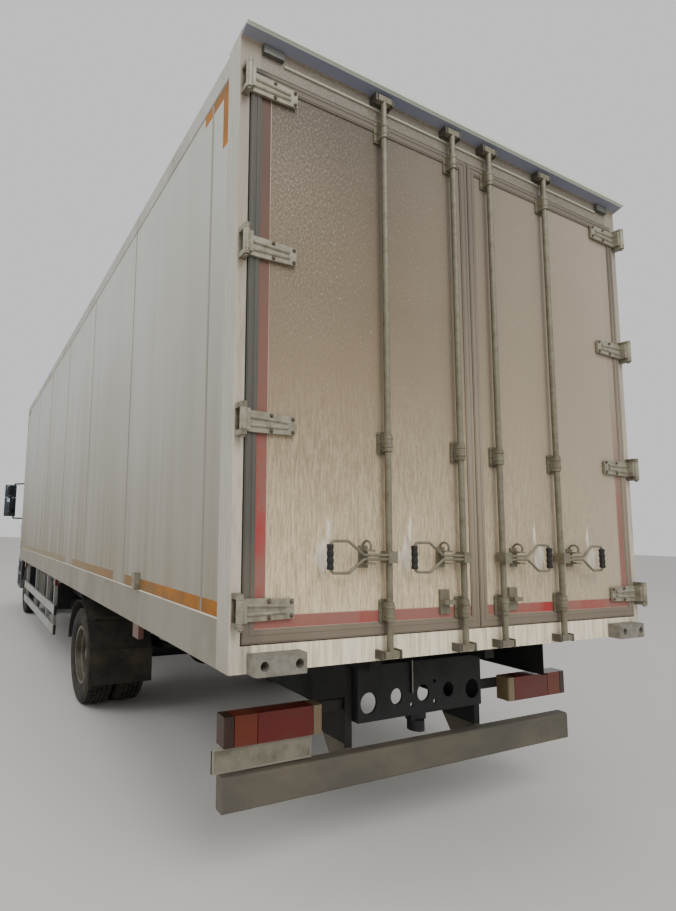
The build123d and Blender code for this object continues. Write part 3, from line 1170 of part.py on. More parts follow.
with BuildPart() as grille_panel:
    block((-GRILLE_X, GRILLE_X), (CAB_FRONT_Y - 6, CAB_FRONT_Y + GRILLE_DEPTH), GRILLE_Z)
    inner_z = (GRILLE_Z[0] + 35, GRILLE_Z[1] - 35)
    block((35 - GRILLE_X, GRILLE_X - 35), (CAB_FRONT_Y - 11, CAB_FRONT_Y + 25), inner_z, mode=Mode.SUBTRACT)
    slat_pitch = (inner_z[1] - inner_z[0]) / SLAT_COUNT
    for step in range(1, SLAT_COUNT):
        slat_z = inner_z[0] + slat_pitch * step
        block((35 - GRILLE_X, GRILLE_X - 35), (CAB_FRONT_Y - 4, CAB_FRONT_Y + 26), (slat_z - 11, slat_z + 11))
save(grille_panel, "grille_panel")

# Mirrors: two-part housings on tube arms from the front corners
MIRROR_X = (1265, 1475)
MIRROR_Y = (-4600, -4490)
# upright tube x, y, radius
MIRROR_TUBE = (1300, -4545, 14)
# foot x, foot y, height
MIRROR_ARMS = [(1090, -4500, 1655), (1075, -4250, 2325)]

with BuildPart() as mirrors:
    for side in (-1, 1):
        mirror_x = sorted((side * MIRROR_X[0], side * MIRROR_X[1]))
        block(mirror_x, MIRROR_Y, (1690, 2050))
        block(mirror_x, MIRROR_Y, (2062, 2300))
        fillet_edges = [edge for edge in mirrors.edges().filter_by(Axis.Z) if edge.center().X * side > 0]
        fillet(fillet_edges, radius=35)
        block(sorted((side * 1335, side * 1405)), (-4580, -4510), (2040, 2070))
        with BuildSketch(level(MIRROR_ARMS[0][2])):
            with Locations((side * MIRROR_TUBE[0], MIRROR_TUBE[1])):
                Circle(MIRROR_TUBE[2])
        extrude(amount=MIRROR_ARMS[1][2] - MIRROR_ARMS[0][2])
        for foot_x, foot_y, arm_z in MIRROR_ARMS:
            reach = Vector(side * (foot_x - MIRROR_TUBE[0]), foot_y - MIRROR_TUBE[1], 0)
            arm_start = (side * MIRROR_TUBE[0], MIRROR_TUBE[1], arm_z)
            with BuildSketch(Plane(origin=arm_start, z_dir=reach)):
                Circle(MIRROR_TUBE[2])
            extrude(amount=reach.length)
            with Locations(arm_start):
                Sphere(MIRROR_TUBE[2])
    add(outer_form, mode=Mode.SUBTRACT)
save(mirrors, "mirrors")

# Cab inside: two seats, and a dashboard with the steering wheel
with BuildPart() as cab_seats:
    for side in (-1, 1):
        for low, high, seat_y, seat_z in (
            (440, 960, (-3760, -3260), (1150, 1290)),
            (440, 960, (-3260, -3110), (1150, 1900)),
            (520, 880, (-3720, -3300), (990, 1150)),
        ):
            block(sorted((side * low, side * high)), seat_y, seat_z)
save(cab_seats, "cab_seats")

WHEEL_CENTRE = (560, -4130, 1480)

with BuildPart() as dashboard:
    with BuildSketch(along(-1000)):
        with BuildLine():
            Polyline(
                (CAB_FRONT_Y + CAB_WALL, 1215),
                (CAB_FRONT_Y + CAB_WALL, 1330),
                (-4588, 1440),
                (-4350, 1420),
                (-4230, 1380),
                (-4230, 1300),
                (-4330, 1215),
                close=True,
            )
        make_face()
    extrude(amount=2000)
    wheel_tilt = Plane(origin=WHEEL_CENTRE, z_dir=(0, 0.55, 1))
    with BuildSketch(wheel_tilt):
        Rectangle(400, 40)
        Circle(60)
    extrude(amount=-24)
    with BuildSketch(wheel_tilt.offset(-20)):
        Circle(32)
    extrude(amount=-160)
    with Locations(Location(wheel_tilt)):
        Torus(210, 15)
save(dashboard, "dashboard")
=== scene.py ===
# %% [markdown]
# # Dressing a refrigerated truck
# The truck's pieces come from its CAD model, in metres, with +Z up, the front at -Y and the truck's
# left side at +X. They stay where they are. This script gives each of them its finish, adds the
# small things that a CAD model leaves out, and sets the light, the floor and the camera.

# %% Load the fixed frame
from functools import partial
from math import cos, pi, radians, sin

import bpy
from mathutils import Matrix, Vector


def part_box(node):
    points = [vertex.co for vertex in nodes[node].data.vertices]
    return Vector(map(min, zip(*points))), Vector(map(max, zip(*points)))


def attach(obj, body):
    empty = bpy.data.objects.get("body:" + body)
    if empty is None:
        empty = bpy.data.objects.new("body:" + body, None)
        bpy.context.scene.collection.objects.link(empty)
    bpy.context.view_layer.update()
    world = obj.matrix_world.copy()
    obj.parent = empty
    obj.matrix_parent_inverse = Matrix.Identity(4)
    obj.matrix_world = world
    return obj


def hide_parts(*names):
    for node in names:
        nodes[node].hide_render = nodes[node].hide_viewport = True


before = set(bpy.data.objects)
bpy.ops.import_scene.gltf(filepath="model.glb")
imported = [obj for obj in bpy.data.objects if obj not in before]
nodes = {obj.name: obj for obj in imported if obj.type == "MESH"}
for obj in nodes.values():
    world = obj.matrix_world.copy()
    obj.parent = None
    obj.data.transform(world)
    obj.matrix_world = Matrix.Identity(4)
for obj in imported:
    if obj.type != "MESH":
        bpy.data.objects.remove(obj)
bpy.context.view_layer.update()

# %% [markdown]
# ## Camera
# The picture was taken from behind the left rear corner, at chest height, with a wide lens pointed
# a little upwards, and it was cropped afterwards, so the optical centre lies left of its middle.
# A camera that looks along its own -Z is turned by three angles: pitch, yaw and roll. The lens
# follows from the focal length in pixels, and the crop becomes a shift.

# %% Camera at the photograph's place
PICTURE = (676, 911)
SENSOR_HEIGHT = 24.0
FOCAL_PIXELS = 520.1
OPTICAL_CENTRE = (204.6, 475.0)
CAMERA_PLACE = Vector((2.188, 6.311, 1.471))
CAMERA_YAW, CAMERA_PITCH, CAMERA_ROLL = radians(24.72), radians(6.31), radians(1.50)


def aim(yaw, pitch, roll):
    """Turn of a camera that looks to -Y at zero yaw."""
    forward = Vector((-sin(yaw) * cos(pitch), -cos(yaw) * cos(pitch), sin(pitch)))
    right = forward.cross(Vector((0, 0, 1))).normalized()
    up = right.cross(forward)
    rolled_right = right * cos(roll) + up * sin(roll)
    rolled_up = up * cos(roll) - right * sin(roll)
    return Matrix((rolled_right, rolled_up, -forward)).transposed().to_4x4()


bpy.ops.object.camera_add()
camera = bpy.context.object
camera.name = "photo_camera"
lens = camera.data
lens.sensor_fit = "VERTICAL"
lens.sensor_height = SENSOR_HEIGHT
lens.lens = FOCAL_PIXELS / PICTURE[1] * SENSOR_HEIGHT
lens.shift_x = (PICTURE[0] / 2 - OPTICAL_CENTRE[0]) / PICTURE[1]
lens.shift_y = (OPTICAL_CENTRE[1] - PICTURE[1] / 2) / PICTURE[1]
lens.clip_end = 400
turn = aim(CAMERA_YAW, CAMERA_PITCH, CAMERA_ROLL)
camera.matrix_world = Matrix.Translation(CAMERA_PLACE) @ turn
bpy.context.scene.camera = camera
print("lens", round(lens.lens, 2), "mm, shift", round(lens.shift_x, 4))

# %% [markdown]
# ## Helpers for materials
# Every colour below is an sRGB hex value, as a colour picker shows it. Blender's shaders work in
# linear light, so one function turns the one into the other. A second one adds a node, sets it,
# links it and gives back its output, so each material reads as a short list of steps. Patterns
# read the object's own coordinates in metres, so 130 waves per metre are specks every 8 mm.
#
# A material's colour is laid on in layers, as paint and dirt are. A Map Range node makes the
# amount of a layer from a pattern or a height: none at its first number and all at its second.
# Its last number, where there is one, is the most that it gives, and may be an amount itself.


# %% Colours, nodes and patterns
def linear(colour):
    """Linear RGBA of an sRGB hex colour such as #8c8270."""
    parts = [int(colour[start : start + 2], 16) / 255 for start in (1, 3, 5)]
    return (*[c / 12.92 if c <= 0.04045 else ((c + 0.055) / 1.055) ** 2.4 for c in parts], 1.0)


def feed(socket, value):
    """Give an input a number, an sRGB colour or another node's output."""
    if isinstance(value, bpy.types.NodeSocket):
        socket.id_data.links.new(value, socket)
    else:
        socket.default_value = linear(value) if isinstance(value, str) else value


def add_node(tree, kind, *inputs, out=0, **settings):
    """Add a node, return its output. Inputs are in order, or a dict of sockets and values."""
    node = tree.nodes.new("ShaderNode" + kind)
    for name, value in settings.items():
        setattr(node, name, value)
    if not inputs or not isinstance(inputs[0], dict):
        inputs = [dict(enumerate(inputs))]
    for socket, value in inputs[0].items():
        feed(node.inputs[socket], value)
    return node.outputs[out] if node.outputs else node


def start_material(name, colour, roughness, metallic=0.0):
    """New material: its shader's inputs, the function for its nodes, and the place in metres."""
    material = bpy.data.materials.new(name)
    material.use_nodes = True
    material.node_tree.nodes.clear()
    node = partial(add_node, material.node_tree)
    values = {"Base Color": colour, "Roughness": roughness, "Metallic": metallic}
    shader = node("BsdfPrincipled", values)
    node("OutputMaterial", {"Surface": shader})
    return material, shader.node.inputs, node, node("TexCoord", out="Object")


def pattern(node, place, waves, detail=4.0, rough=0.55):
    """Cloudy pattern from 0 to 1, with waves per metre on all axes or on each of them."""
    waves = waves if isinstance(waves, tuple) else (waves,) * 3
    spread = node("Mapping", {"Vector": place, "Scale": waves})
    return node("TexNoise", {"Vector": spread, "Scale": 1.0, "Detail": detail, "Roughness": rough})


def layered(node, base, *layers):
    """Colours laid over a base colour, each one (colour, amount)."""
    for colour, amount in layers:
        base = node("Mix", {0: amount, 6: base, 7: colour}, out=2, data_type="RGBA")
    return base


def where(node, *tests):
    """1 where each test, (coordinate, < or >, limit), holds, else 0."""
    amount = 1.0
    for value, sign, limit in tests:
        operation = {"<": "LESS_THAN", ">": "GREATER_THAN"}[sign]
        holds = node("Math", value, limit, operation=operation)
        amount = node("Math", holds, amount, operation="MULTIPLY")
    return amount


def surface(shader, node, colour, height, depth):
    """Colour of a shader, and its bump with the real depth in metres."""
    feed(shader["Base Color"], colour)
    feed(shader["Normal"], node("Bump", {"Distance": depth, "Height": height}))


def dress(material, names):
    """Give CAD nodes a material."""
    for name in names.split():
        nodes[name].data.materials.clear()
        nodes[name].data.materials.append(material)
    print(material.name, "on", names or "added pieces")
    return material


# %% [markdown]
# ## Side panels: glass fibre sheet with a gelcoat
# The walls are sandwich panels faced with glass fibre sheet. Its gelcoat is smooth and a little
# glossy, so it reflects a soft sky, but rain has left faint upright streaks, and road spray makes
# the lower half browner. Streaks are noise stretched along Z: many waves across, few waves down.

# %% Gelcoat of the walls, roof and floor
SKIRT_TOP, WALL_TOP = (corner.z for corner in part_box("side_wall_left"))
SPRAY_TOP, SPRAY_FOOT = SKIRT_TOP + 1.8, SKIRT_TOP + 0.1
gelcoat, shader, node, place = start_material("gelcoat_sheet", "#9fa29d", 0.34)
height = node("SeparateXYZ", place, out=2)
streaks = pattern(node, place, (9.0, 9.0, 0.25), detail=6.0, rough=0.6)
clouds = pattern(node, place, (0.5, 0.5, 0.7), detail=3.0)
# spray clings in the streaks
spray = node("MapRange", height, SPRAY_TOP, SPRAY_FOOT, 0.0, node("MapRange", streaks, -0.6, 1.0))
colour = layered(
    node,
    "#b9bbb6",
    ("#b1b2ab", node("MapRange", streaks, 0.35, 0.7)),
    ("#aaaaa0", node("MapRange", clouds, 0.35, 0.7)),
    ("#786c56", spray),
)
dull = node("Math", streaks, spray, operation="ADD")
feed(shader["Roughness"], node("MapRange", dull, -0.9, 1.9))
surface(shader, node, colour, pattern(node, place, 60.0, detail=2.0), 0.0002)
dress(gelcoat, "side_wall_left side_wall_right front_wall box_roof box_floor")

# %% [markdown]
# ## Rear doors: gelcoat under dried road dust
# The wheels throw wet grit into the wake behind the box, and it dries on the doors as a thick
# brown-grey film. It is a film of specks a few millimetres wide, drawn down into short threads
# where drops ran. Low down rain has washed long pale threads into it, and where a hand swings the
# lock handles the film is rubbed off, so a pale halo with a brush-like edge surrounds each one.
# The doors' inner lining, just behind the outer sheet, is white and almost clean.


# %% Soft spots, alone or in pairs
def spot(node, across, up, reach):
    """Soft spot on an upright face: 1 where both distances are 0, falling to 0 at reach."""
    across, up = (node("Math", *pair, operation="DIVIDE") for pair in zip((across, up), reach))
    flat = node("CombineXYZ", across, 0.0, up)
    return node("TexGradient", {"Vector": flat}, out=1, gradient_type="SPHERICAL")


def nearest(node, value, middle, half_gap):
    """Distance to the nearer of two places that lie half_gap each side of middle."""
    apart = node("Math", value, middle, operation="SUBTRACT")
    apart = node("Math", apart, operation="ABSOLUTE")
    return node("Math", apart, half_gap, operation="SUBTRACT")


# %% Dusty door gelcoat
DOOR_LOW, DOOR_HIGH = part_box("rear_door_left")
DOOR_FACE_Y = DOOR_HIGH.y
LINING_Y = DOOR_FACE_Y - 0.006
ROD_X = (0.132, 0.573)
ROD_MIDDLE, ROD_APART = (ROD_X[0] + ROD_X[1]) / 2, (ROD_X[1] - ROD_X[0]) / 2
HANDLE_Z = 1.39
WORN_CORNER = (1.05, 2.9)
# distance of the rubbed place from its rod, height, reach across and up
RUBBED = [(0.318, HANDLE_Z, (0.06, 0.12)), (0.288, HANDLE_Z + 0.1, (0.018, 0.10))]
dusty_door, shader, node, place = start_material("dusty_gelcoat", "#7f7665", 0.62)
side_x, depth_y, height = node("SeparateXYZ", place, out=slice(3))
from_middle = node("Math", side_x, operation="ABSOLUTE")
specks = pattern(node, place, (130.0, 130.0, 75.0), rough=0.75)
threads = pattern(node, place, (150.0, 150.0, 15.0), detail=5.0, rough=0.8)
drifts = pattern(node, place, (1.5, 1.5, 0.8))
brushed = pattern(node, place, (48.0, 48.0, 10.0), detail=5.0, rough=0.75)
washed = node("MapRange", side_x, -1.6, 0.4)
washed = node("MapRange", height, DOOR_LOW.z + 1.1, DOOR_LOW.z, 0.0, washed)
foot = node("MapRange", side_x, -0.6, 0.6)
foot = node("MapRange", height, DOOR_LOW.z + 0.7, DOOR_LOW.z, 0.0, foot)
threads_pale = node("MapRange", threads, 0.46, 0.58, 0.0, 0.75)
threads_brown = node("MapRange", threads, 0.46, 0.34, 0.0, 0.75)
across, up = (
    node("Math", value, middle, operation="SUBTRACT")
    for value, middle in zip((side_x, height), WORN_CORNER)
)
corner = spot(node, across, up, (0.45, 0.8))
worn_corner = node("MapRange", specks, 0.46, 0.66, 0.0, 0.7)
worn_corner = node("Math", corner, worn_corner, operation="MULTIPLY")
rubs = []
for out, level, reach in RUBBED:
    beside = nearest(node, from_middle, ROD_MIDDLE + out, ROD_APART)
    above = node("Math", height, level, operation="SUBTRACT")
    rubs.append(spot(node, beside, above, reach))
halo = node("Math", *rubs, operation="MAXIMUM")
halo = node("Math", brushed, 2.2, halo, operation="MULTIPLY_ADD")
film = layered(
    node,
    "#6b5b46",
    ("#7a6a54", node("MapRange", drifts, 0.32, 0.7)),
    ("#51483b", node("MapRange", height, 2.6, 3.3)),  # darker below the header
    ("#b09b79", node("MapRange", height, 2.5, 1.1)),  # dry clay lower down
    ("#a99d89", node("MapRange", side_x, 0.8, -1.6)),  # paler on the far door: paler dust and painted sheen of the grazing view
    ("#b3a690", node("MapRange", specks, 0.55, 0.72, 0.0, 0.6)),
    ("#5c5040", node("MapRange", specks, 0.42, 0.28, 0.0, 0.5)),
    ("#a89c87", worn_corner),
    ("#ccb896", foot),
    ("#e8d8b6", node("Math", washed, threads_pale, operation="MULTIPLY")),
    ("#6f6049", node("Math", washed, threads_brown, operation="MULTIPLY")),
    ("#e4dccb", node("MapRange", halo, 1.45, 1.75, 0.0, 0.85)),
)
lining = layered(node, "#cfcfc8", ("#b3b0a4", node("MapRange", drifts, 0.4, 0.8)))
film = layered(node, film, (lining, where(node, (depth_y, "<", LINING_Y))))
surface(shader, node, film, specks, 0.0005)
dress(dusty_door, "rear_door_left rear_door_right")

# %% [markdown]
# ## Rear frame: one folded steel portal in several finishes
# The portal round the doors is stoved cream paint. It is darker and speckled on the header, and
# rain has drawn brown threads down the sill. The corner posts are cleaner and look like bare
# aluminium, and the rain visor above the header has a pale top and lip, with painted shade in slate
# grey under it.
# One material does all four, because it can read the height and the distance from the middle.

# %% Stoved cream paint of the frame
FRAME_LOW, FRAME_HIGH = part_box("rear_frame")
REAR_Y, SILL_Z, VISOR_EDGE_Y = FRAME_LOW.y + 0.1, FRAME_LOW.z, FRAME_HIGH.y
BOX_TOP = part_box("box_rails")[1].z
POST_X, POST_SIDE_X = 1.205, 1.262
VISOR_LIP = "#c3ccbd"
frame_paint, shader, node, place = start_material("stoved_cream_paint", "#a8a190", 0.5)
side_x, depth_y, height = node("SeparateXYZ", place, out=slice(3))
from_middle = node("Math", side_x, operation="ABSOLUTE")
fine = pattern(node, place, (60.0, 60.0, 5.0), detail=5.0, rough=0.7)
specks = pattern(node, place, 110.0, detail=3.0, rough=0.7)
drifts = pattern(node, place, 2.2)
header = layered(
    node,
    "#6f675a",
    ("#7c7365", node("MapRange", drifts, 0.35, 0.65)),
    ("#a9a18f", node("MapRange", specks, 0.5, 0.7, 0.0, 0.5)),
    ("#a9a798", where(node, (depth_y, ">", REAR_Y + 0.001), (height, "<", BOX_TOP - 0.055))),
)
post_face = layered(
    node,
    "#bfb5a2",
    ("#958b79", node("MapRange", fine, 0.45, 0.7)),
    ("#8f8474", node("MapRange", height, 1.6, 3.3)),
)
post_side = layered(
    node,
    "#b0ada0",
    ("#9a9688", node("MapRange", fine, 0.4, 0.75)),
    ("#979080", node("MapRange", height, 1.3, 0.95)),
)
visor = layered(
    node,
    # slate grey: painted shade under the visor
    "#6b6e80",
    ("#7b7d86", node("MapRange", drifts, 0.35, 0.7)),
    (VISOR_LIP, where(node, (height, ">", BOX_TOP + 0.008))),
    (VISOR_LIP, where(node, (depth_y, ">", VISOR_EDGE_Y - 0.014))),
)
colour = layered(
    node,
    "#f2e5c9",  # the sill
    ("#a3957c", node("MapRange", fine, 0.42, 0.78)),
    (header, node("MapRange", height, SILL_Z + 0.9, SILL_Z + 1.9)),
    (post_face, where(node, (from_middle, ">", POST_X))),
    (post_side, where(node, (from_middle, ">", POST_SIDE_X), (depth_y, "<", REAR_Y - 0.003))),
    (visor, where(node, (depth_y, ">", REAR_Y + 0.009), (height, ">", BOX_TOP - 0.02))),
)
surface(shader, node, colour, specks, 0.0003)
dress(frame_paint, "rear_frame")

# %% [markdown]
# ## Plain finishes
# The remaining materials share one recipe: a base colour, a second colour in soft clouds for dust
# or wear, a roughness, and a fine bump. Each is named for what the real piece is made of and how
# it was made. Its roughness and its share of metal give the eye the rest: enamel and gelcoat
# shine softly, moulded plastic is a little duller, rubber and cast iron are matt, and rolled or
# anodised aluminium is a grey half mirror. They start from typical values for that material.


# %% One recipe for the plain finishes
# bump: waves per metre, depth. The real grain is finer; 300 waves are the finest that show.
FINE, SMOOTH, COARSE = (300.0, 0.0002), (300.0, 0.00002), (300.0, 0.0008)


def finish(name, colour, dust, roughness, metallic=0.0, amount=0.5, waves=3.0, bump=FINE, on=""):
    """Material of one colour with an amount of dust in clouds, put on some CAD nodes."""
    material, shader, node, place = start_material(name, colour, roughness, metallic)
    drift = pattern(node, place, waves, detail=5.0, rough=0.6)
    cover = node("MapRange", drift, 0.75 - amount * 0.5, 0.9 - amount * 0.2)
    rough = node("MapRange", cover, -roughness * 3, 3 * (1 - roughness) + 0.01)
    feed(shader["Roughness"], rough)
    grain = pattern(node, place, bump[0], detail=2.0)
    surface(shader, node, layered(node, colour, (dust, cover)), grain, bump[1])
    return dress(material, on)


# name, colour, dust, roughness, metallic, amount of dust, its waves, bump, CAD nodes
FINISHES = [
    # grey silver, blurred by dust
    ("bare_aluminium", "#a8a79f", "#8a8373", 0.4, 0.45, 0.6, (5.0, 5.0, 2.0), FINE, ""),
    # matt brown
    ("rusty_bolt_steel", "#6e6454", "#4c4336", 0.8, 0.3, 0.6, 60.0, FINE, ""),
    # chalky grey, coarse and matt
    ("moulded_buffer_rubber", "#827d71", "#625e55", 0.85, 0.0, 0.7, 30.0, COARSE, "dock_buffers"),
    # black paint, made near black as painted shade under the body
    ("chassis_paint_and_painted_shade", "#070708", "#14120f", 0.7, 0.0, 0.5, 4.0, FINE,
     "chassis_frame subframe front_axle rear_axle knuckle_left knuckle_right tie_rod "
     "propeller_shaft"),
    # dark grey with a faint sheen
    ("moulded_black_plastic", "#151617", "#38352e", 0.55, 0.0, 0.45, 3.0, FINE,
     "front_mudguards battery_box grille_panel"),
    # matt black in brown mud
    ("mud_flap_rubber", "#1d1c1a", "#4b4437", 0.85, 0.0, 0.75, 5.0, FINE, "rear_mudguards"),
    # even grey with a faint sheen
    ("moulded_grey_plastic", "#55585c", "#6e6a60", 0.5, 0.0, 0.4, 3.0, FINE,
     "front_bumper cab_steps"),
    # deep matt black, brown where the road has dried on it
    ("tyre_rubber", "#191918", "#453e33", 0.88, 0.0, 0.75, 9.0, (200.0, 0.0002), ""),
    # white once, now brown-grey brake dust, darkened further as painted shade in the wheel arches
    ("rim_enamel_and_painted_shade", "#605d51", "#40392d", 0.55, 0.0, 0.75, 9.0, FINE,
     "rim_front_left rim_front_right rims_rear_left rims_rear_right"),
    # smooth and glossy white
    ("cab_enamel", "#cfd1cd", "#a8a496", 0.25, 0.0, 0.4, (1.5, 1.5, 0.7), SMOOTH,
     "cab_shell cab_door_left cab_door_right"),
    # soft gloss, white
    ("unit_cover_plastic", "#cfd1ce", "#a5a296", 0.35, 0.0, 0.4, 3.0, FINE, "cooling_unit"),
    # satin silver
    ("anodised_aluminium", "#a9aaa6", "#8a8578", 0.42, 0.7, 0.5, 3.0, FINE, "side_guards"),
    # blurred mirror
    ("rolled_tank_aluminium", "#a2a3a3", "#77726a", 0.35, 0.85, 0.4, 3.0, FINE, "fuel_tank"),
    # dull silver going brown with heat
    ("aluminised_steel", "#77736b", "#5c4a38", 0.6, 0.7, 0.6, 3.0, FINE, "exhaust_silencer"),
    # nearly black, rough
    ("cast_iron", "#2c2b29", "#3d372f", 0.75, 0.3, 0.5, 3.0, FINE, "engine_block"),
    # black with a soft shine
    ("mirror_housing_plastic", "#17181a", "#33322e", 0.45, 0.0, 0.3, 3.0, FINE, "mirrors"),
    # charcoal without shine
    ("dashboard_plastic", "#2e2f31", "#3e3d3a", 0.65, 0.0, 0.3, 3.0, FINE, "dashboard"),
]
finishes = {row[0]: finish(*row) for row in FINISHES}
aluminium, black_plastic = finishes["bare_aluminium"], finishes["moulded_black_plastic"]

# %% [markdown]
# ## Door seals: extruded rubber
# The seal is black rubber under the same road dust as the doors. Only the upright band beside the
# left post is darker, and paler towards its foot as a painted highlight of the lit upper lip. All
# the others keep the colour of dry clay.

# %% Dusty rubber of the seals
seal_rubber, shader, node, place = start_material("extruded_door_rubber", "#5b574c", 0.75)
side_x, _, height = node("SeparateXYZ", place, out=slice(3))
dust = pattern(node, place, (9.0, 9.0, 2.0), detail=5.0, rough=0.65)
dust = node("MapRange", dust, 0.3, 0.75)
dry = layered(node, "#857a69", ("#978b78", dust), ("#6b6256", node("MapRange", height, 2.0, 3.1)))
band = layered(
    node,
    "#444540",
    ("#57534a", dust),
    (dry, node("MapRange", side_x, 1.19, 1.15)),
    # paler towards the foot: painted highlight of the lit upper lip
    ("#74695a", node("MapRange", height, 1.5, 1.0)),
)
surface(shader, node, band, pattern(node, place, 220.0, detail=2.0), 0.0003)
dress(seal_rubber, "door_seal_left door_seal_right")

# %% [markdown]
# ## Lock gear and bar: two finishes on one node
# The rods, guides and handles are galvanised and as dusty as the doors, while the hinge straps
# beside the posts stay brighter. The underrun bar is thick with dry mud, and the hangers above it
# are black. Each pair is one CAD node, so its material changes from one finish to the other where
# the object's own coordinates say that the other part starts.

# %% Materials that change over with place
X, Y, Z = range(3)


def zoned(name, near, far, axis, limit, roughness, metallic, waves, on):
    """Two finishes, each (colour, dust). The far one starts where a coordinate passes limit."""
    material, shader, node, place = start_material(name, near[0], roughness, metallic)
    distance = node("Math", node("SeparateXYZ", place, out=axis), operation="ABSOLUTE")
    drift = pattern(node, place, waves, detail=5.0, rough=0.65)
    cover = node("MapRange", drift, 0.42, 0.66)
    near, far = (layered(node, colour, (dust, cover)) for colour, dust in (near, far))
    colour = layered(node, near, (far, where(node, (distance, ">", limit))))
    surface(shader, node, colour, pattern(node, place, 90.0, detail=3.0), 0.0003)
    return dress(material, on)


# name, near and far (colour, dust), axis, limit, roughness, metallic, waves of dust, CAD nodes
ZONED = [
    # dull grey zinc, brighter beside the posts
    ("galvanised_lock_gear", ("#7b7664", "#69624f"), ("#96917f", "#7b7462"), X, 1.03,
     0.5, 0.25, 24.0, "lock_gear_left lock_gear_right"),
    # dry mud below, black above
    ("mud_on_black_paint", ("#4f4b43", "#635c4d"), ("#0c0c0d", "#1d1b17"), Z, 0.470,
     0.75, 0.0, (1.6, 3.0, 3.0), "underrun_bar"),
    # dark keepers, pale hinge lugs
    ("zinc_plated_fittings", ("#5c584e", "#474237"), ("#8e8a79", "#5f5443"), X, 1.2,
     0.5, 0.35, 24.0, "body_fittings"),
    # satin grey, browner along the foot
    ("extruded_aluminium", ("#8d897b", "#797160"), ("#abaaa2", "#928c7c"), Z, SILL_Z + 0.3,
     0.45, 0.3, (2.0, 2.0, 1.0), "box_rails"),
    # smoky lens in the middle, dull red at the sides
    ("marker_lamp_acrylic", ("#4a4b49", "#5d5a52"), ("#5a2a1a", "#4c3b30"), X, 1.22,
     0.3, 0.0, 24.0, "marker_lamps"),
]
finishes.update({row[0]: zoned(*row) for row in ZONED})

# %% [markdown]
# ## Lamps: moulded acrylic lenses
# A tail lamp is one long lens in four colours: clear for reversing on the inside, red, amber, and
# a dark outer end. Its inside is moulded in small prisms, which shine as a fine grid. The lens
# takes its colour from the distance to the middle of the truck, and the grid is two sets of waves.

# %% Tail lamps
LENS_JOINTS = (0.69, 0.98, 1.094)
PRISM_WAVES = 24.0


def crossed(node, place, waves):
    """Grid where two sets of waves, one along X and one along Z, meet."""
    bands = [
        node("TexWave", {"Vector": place, "Scale": waves}, out=1, bands_direction=axis)
        for axis in "XZ"
    ]
    return node("Math", *bands, operation="MULTIPLY")


acrylic, shader, node, place = start_material("moulded_lamp_acrylic", "#8f2a25", 0.3)
feed(shader["Specular IOR Level"], 0.3)
feed(shader["Coat Weight"], 0.15)
from_middle = node("Math", node("SeparateXYZ", place), operation="ABSOLUTE")
grid = crossed(node, place, PRISM_WAVES)
mud = pattern(node, place, 7.0, detail=5.0)
sections = [where(node, (from_middle, ">", joint)) for joint in LENS_JOINTS]
colour = layered(
    node,
    "#75684f",
    *zip(("#5d1411", "#66260f", "#2a1510"), sections),
    ("#8f3a30", node("Math", grid, 0.06, operation="MULTIPLY")),
    ("#4a3527", node("MapRange", mud, 0.4, 0.75, 0.0, 0.5)),
)
surface(shader, node, colour, grid, 0.0006)
dress(acrylic, "tail_lamps")

# %% [markdown]
# ## Cab glass
# Toughened glass is clear with a faint green tint. Thin panes need no refraction to read as glass:
# full transmission with a low roughness gives both the reflection and the view of the seats.


# %% Tinted safety glass
def clear(name, colour, roughness, ior, on=""):
    """Clear material of one tint."""
    material, shader, *_ = start_material(name, colour, roughness)
    feed(shader["Transmission Weight"], 1.0)
    feed(shader["IOR"], ior)
    return dress(material, on)


clear("tinted_safety_glass", "#b9c6c1", 0.03, 1.45, "windscreen door_glass_left door_glass_right")

# %% [markdown]
# ## Modelling by hand in code
# Each new piece starts as a primitive, is shaped in edit mode, and ends as one mesh whose place is
# in its points. A few helpers do what a hand does all the time: deselect, add a block between two
# corners, pick faces by where they are and where they look, step a face in, round the edges, copy,
# mirror, and hand over.

# %% Helpers: start and settle
OUTWARDS, FORWARDS, REARWARDS = Vector((1, 0, 0)), Vector((0, -1, 0)), Vector((0, 1, 0))
TURNS = {"x": (0, pi / 2, 0), "y": (pi / 2, 0, 0), "z": (0, 0, 0)}


def deselect():
    """Nothing selected, and no piece in edit mode."""
    if bpy.context.object and bpy.context.object.mode == "EDIT":
        bpy.ops.object.mode_set(mode="OBJECT")
    bpy.ops.object.select_all(action="DESELECT")


def choose(piece):
    """Only this piece selected and active."""
    deselect()
    piece.select_set(True)
    bpy.context.view_layer.objects.active = piece


def settle(piece):
    """Place, turn and scale moved into the mesh."""
    choose(piece)
    bpy.ops.object.transform_apply(location=True, rotation=True, scale=True)
    return piece


def block(low, high):
    """New block between its lowest and highest corner."""
    deselect()
    low, high = Vector(low), Vector(high)
    bpy.ops.mesh.primitive_cube_add(size=1, location=(low + high) / 2)
    piece = bpy.context.object
    piece.scale = high - low
    return settle(piece)


def rod(centre, radius, length, axis, sides=24):
    """New cylinder along x, y or z."""
    deselect()
    bpy.ops.mesh.primitive_cylinder_add(
        vertices=sides, radius=radius, depth=length, location=centre, rotation=TURNS[axis]
    )
    return settle(bpy.context.object)


# %% Helpers: shape in edit mode
def pick(piece, test):
    """In edit mode, select the faces whose centre and normal pass the test."""
    choose(piece)
    bpy.ops.object.mode_set(mode="EDIT")
    bpy.ops.mesh.select_mode(type="FACE")
    bpy.ops.mesh.select_all(action="DESELECT")
    bpy.ops.object.mode_set(mode="OBJECT")
    for face in piece.data.polygons:
        face.select = bool(test(face.center, face.normal))
    bpy.ops.object.mode_set(mode="EDIT")


def facing(direction):
    """Test for the faces that look in a direction."""
    return lambda centre, normal: normal.dot(direction) > 0.99


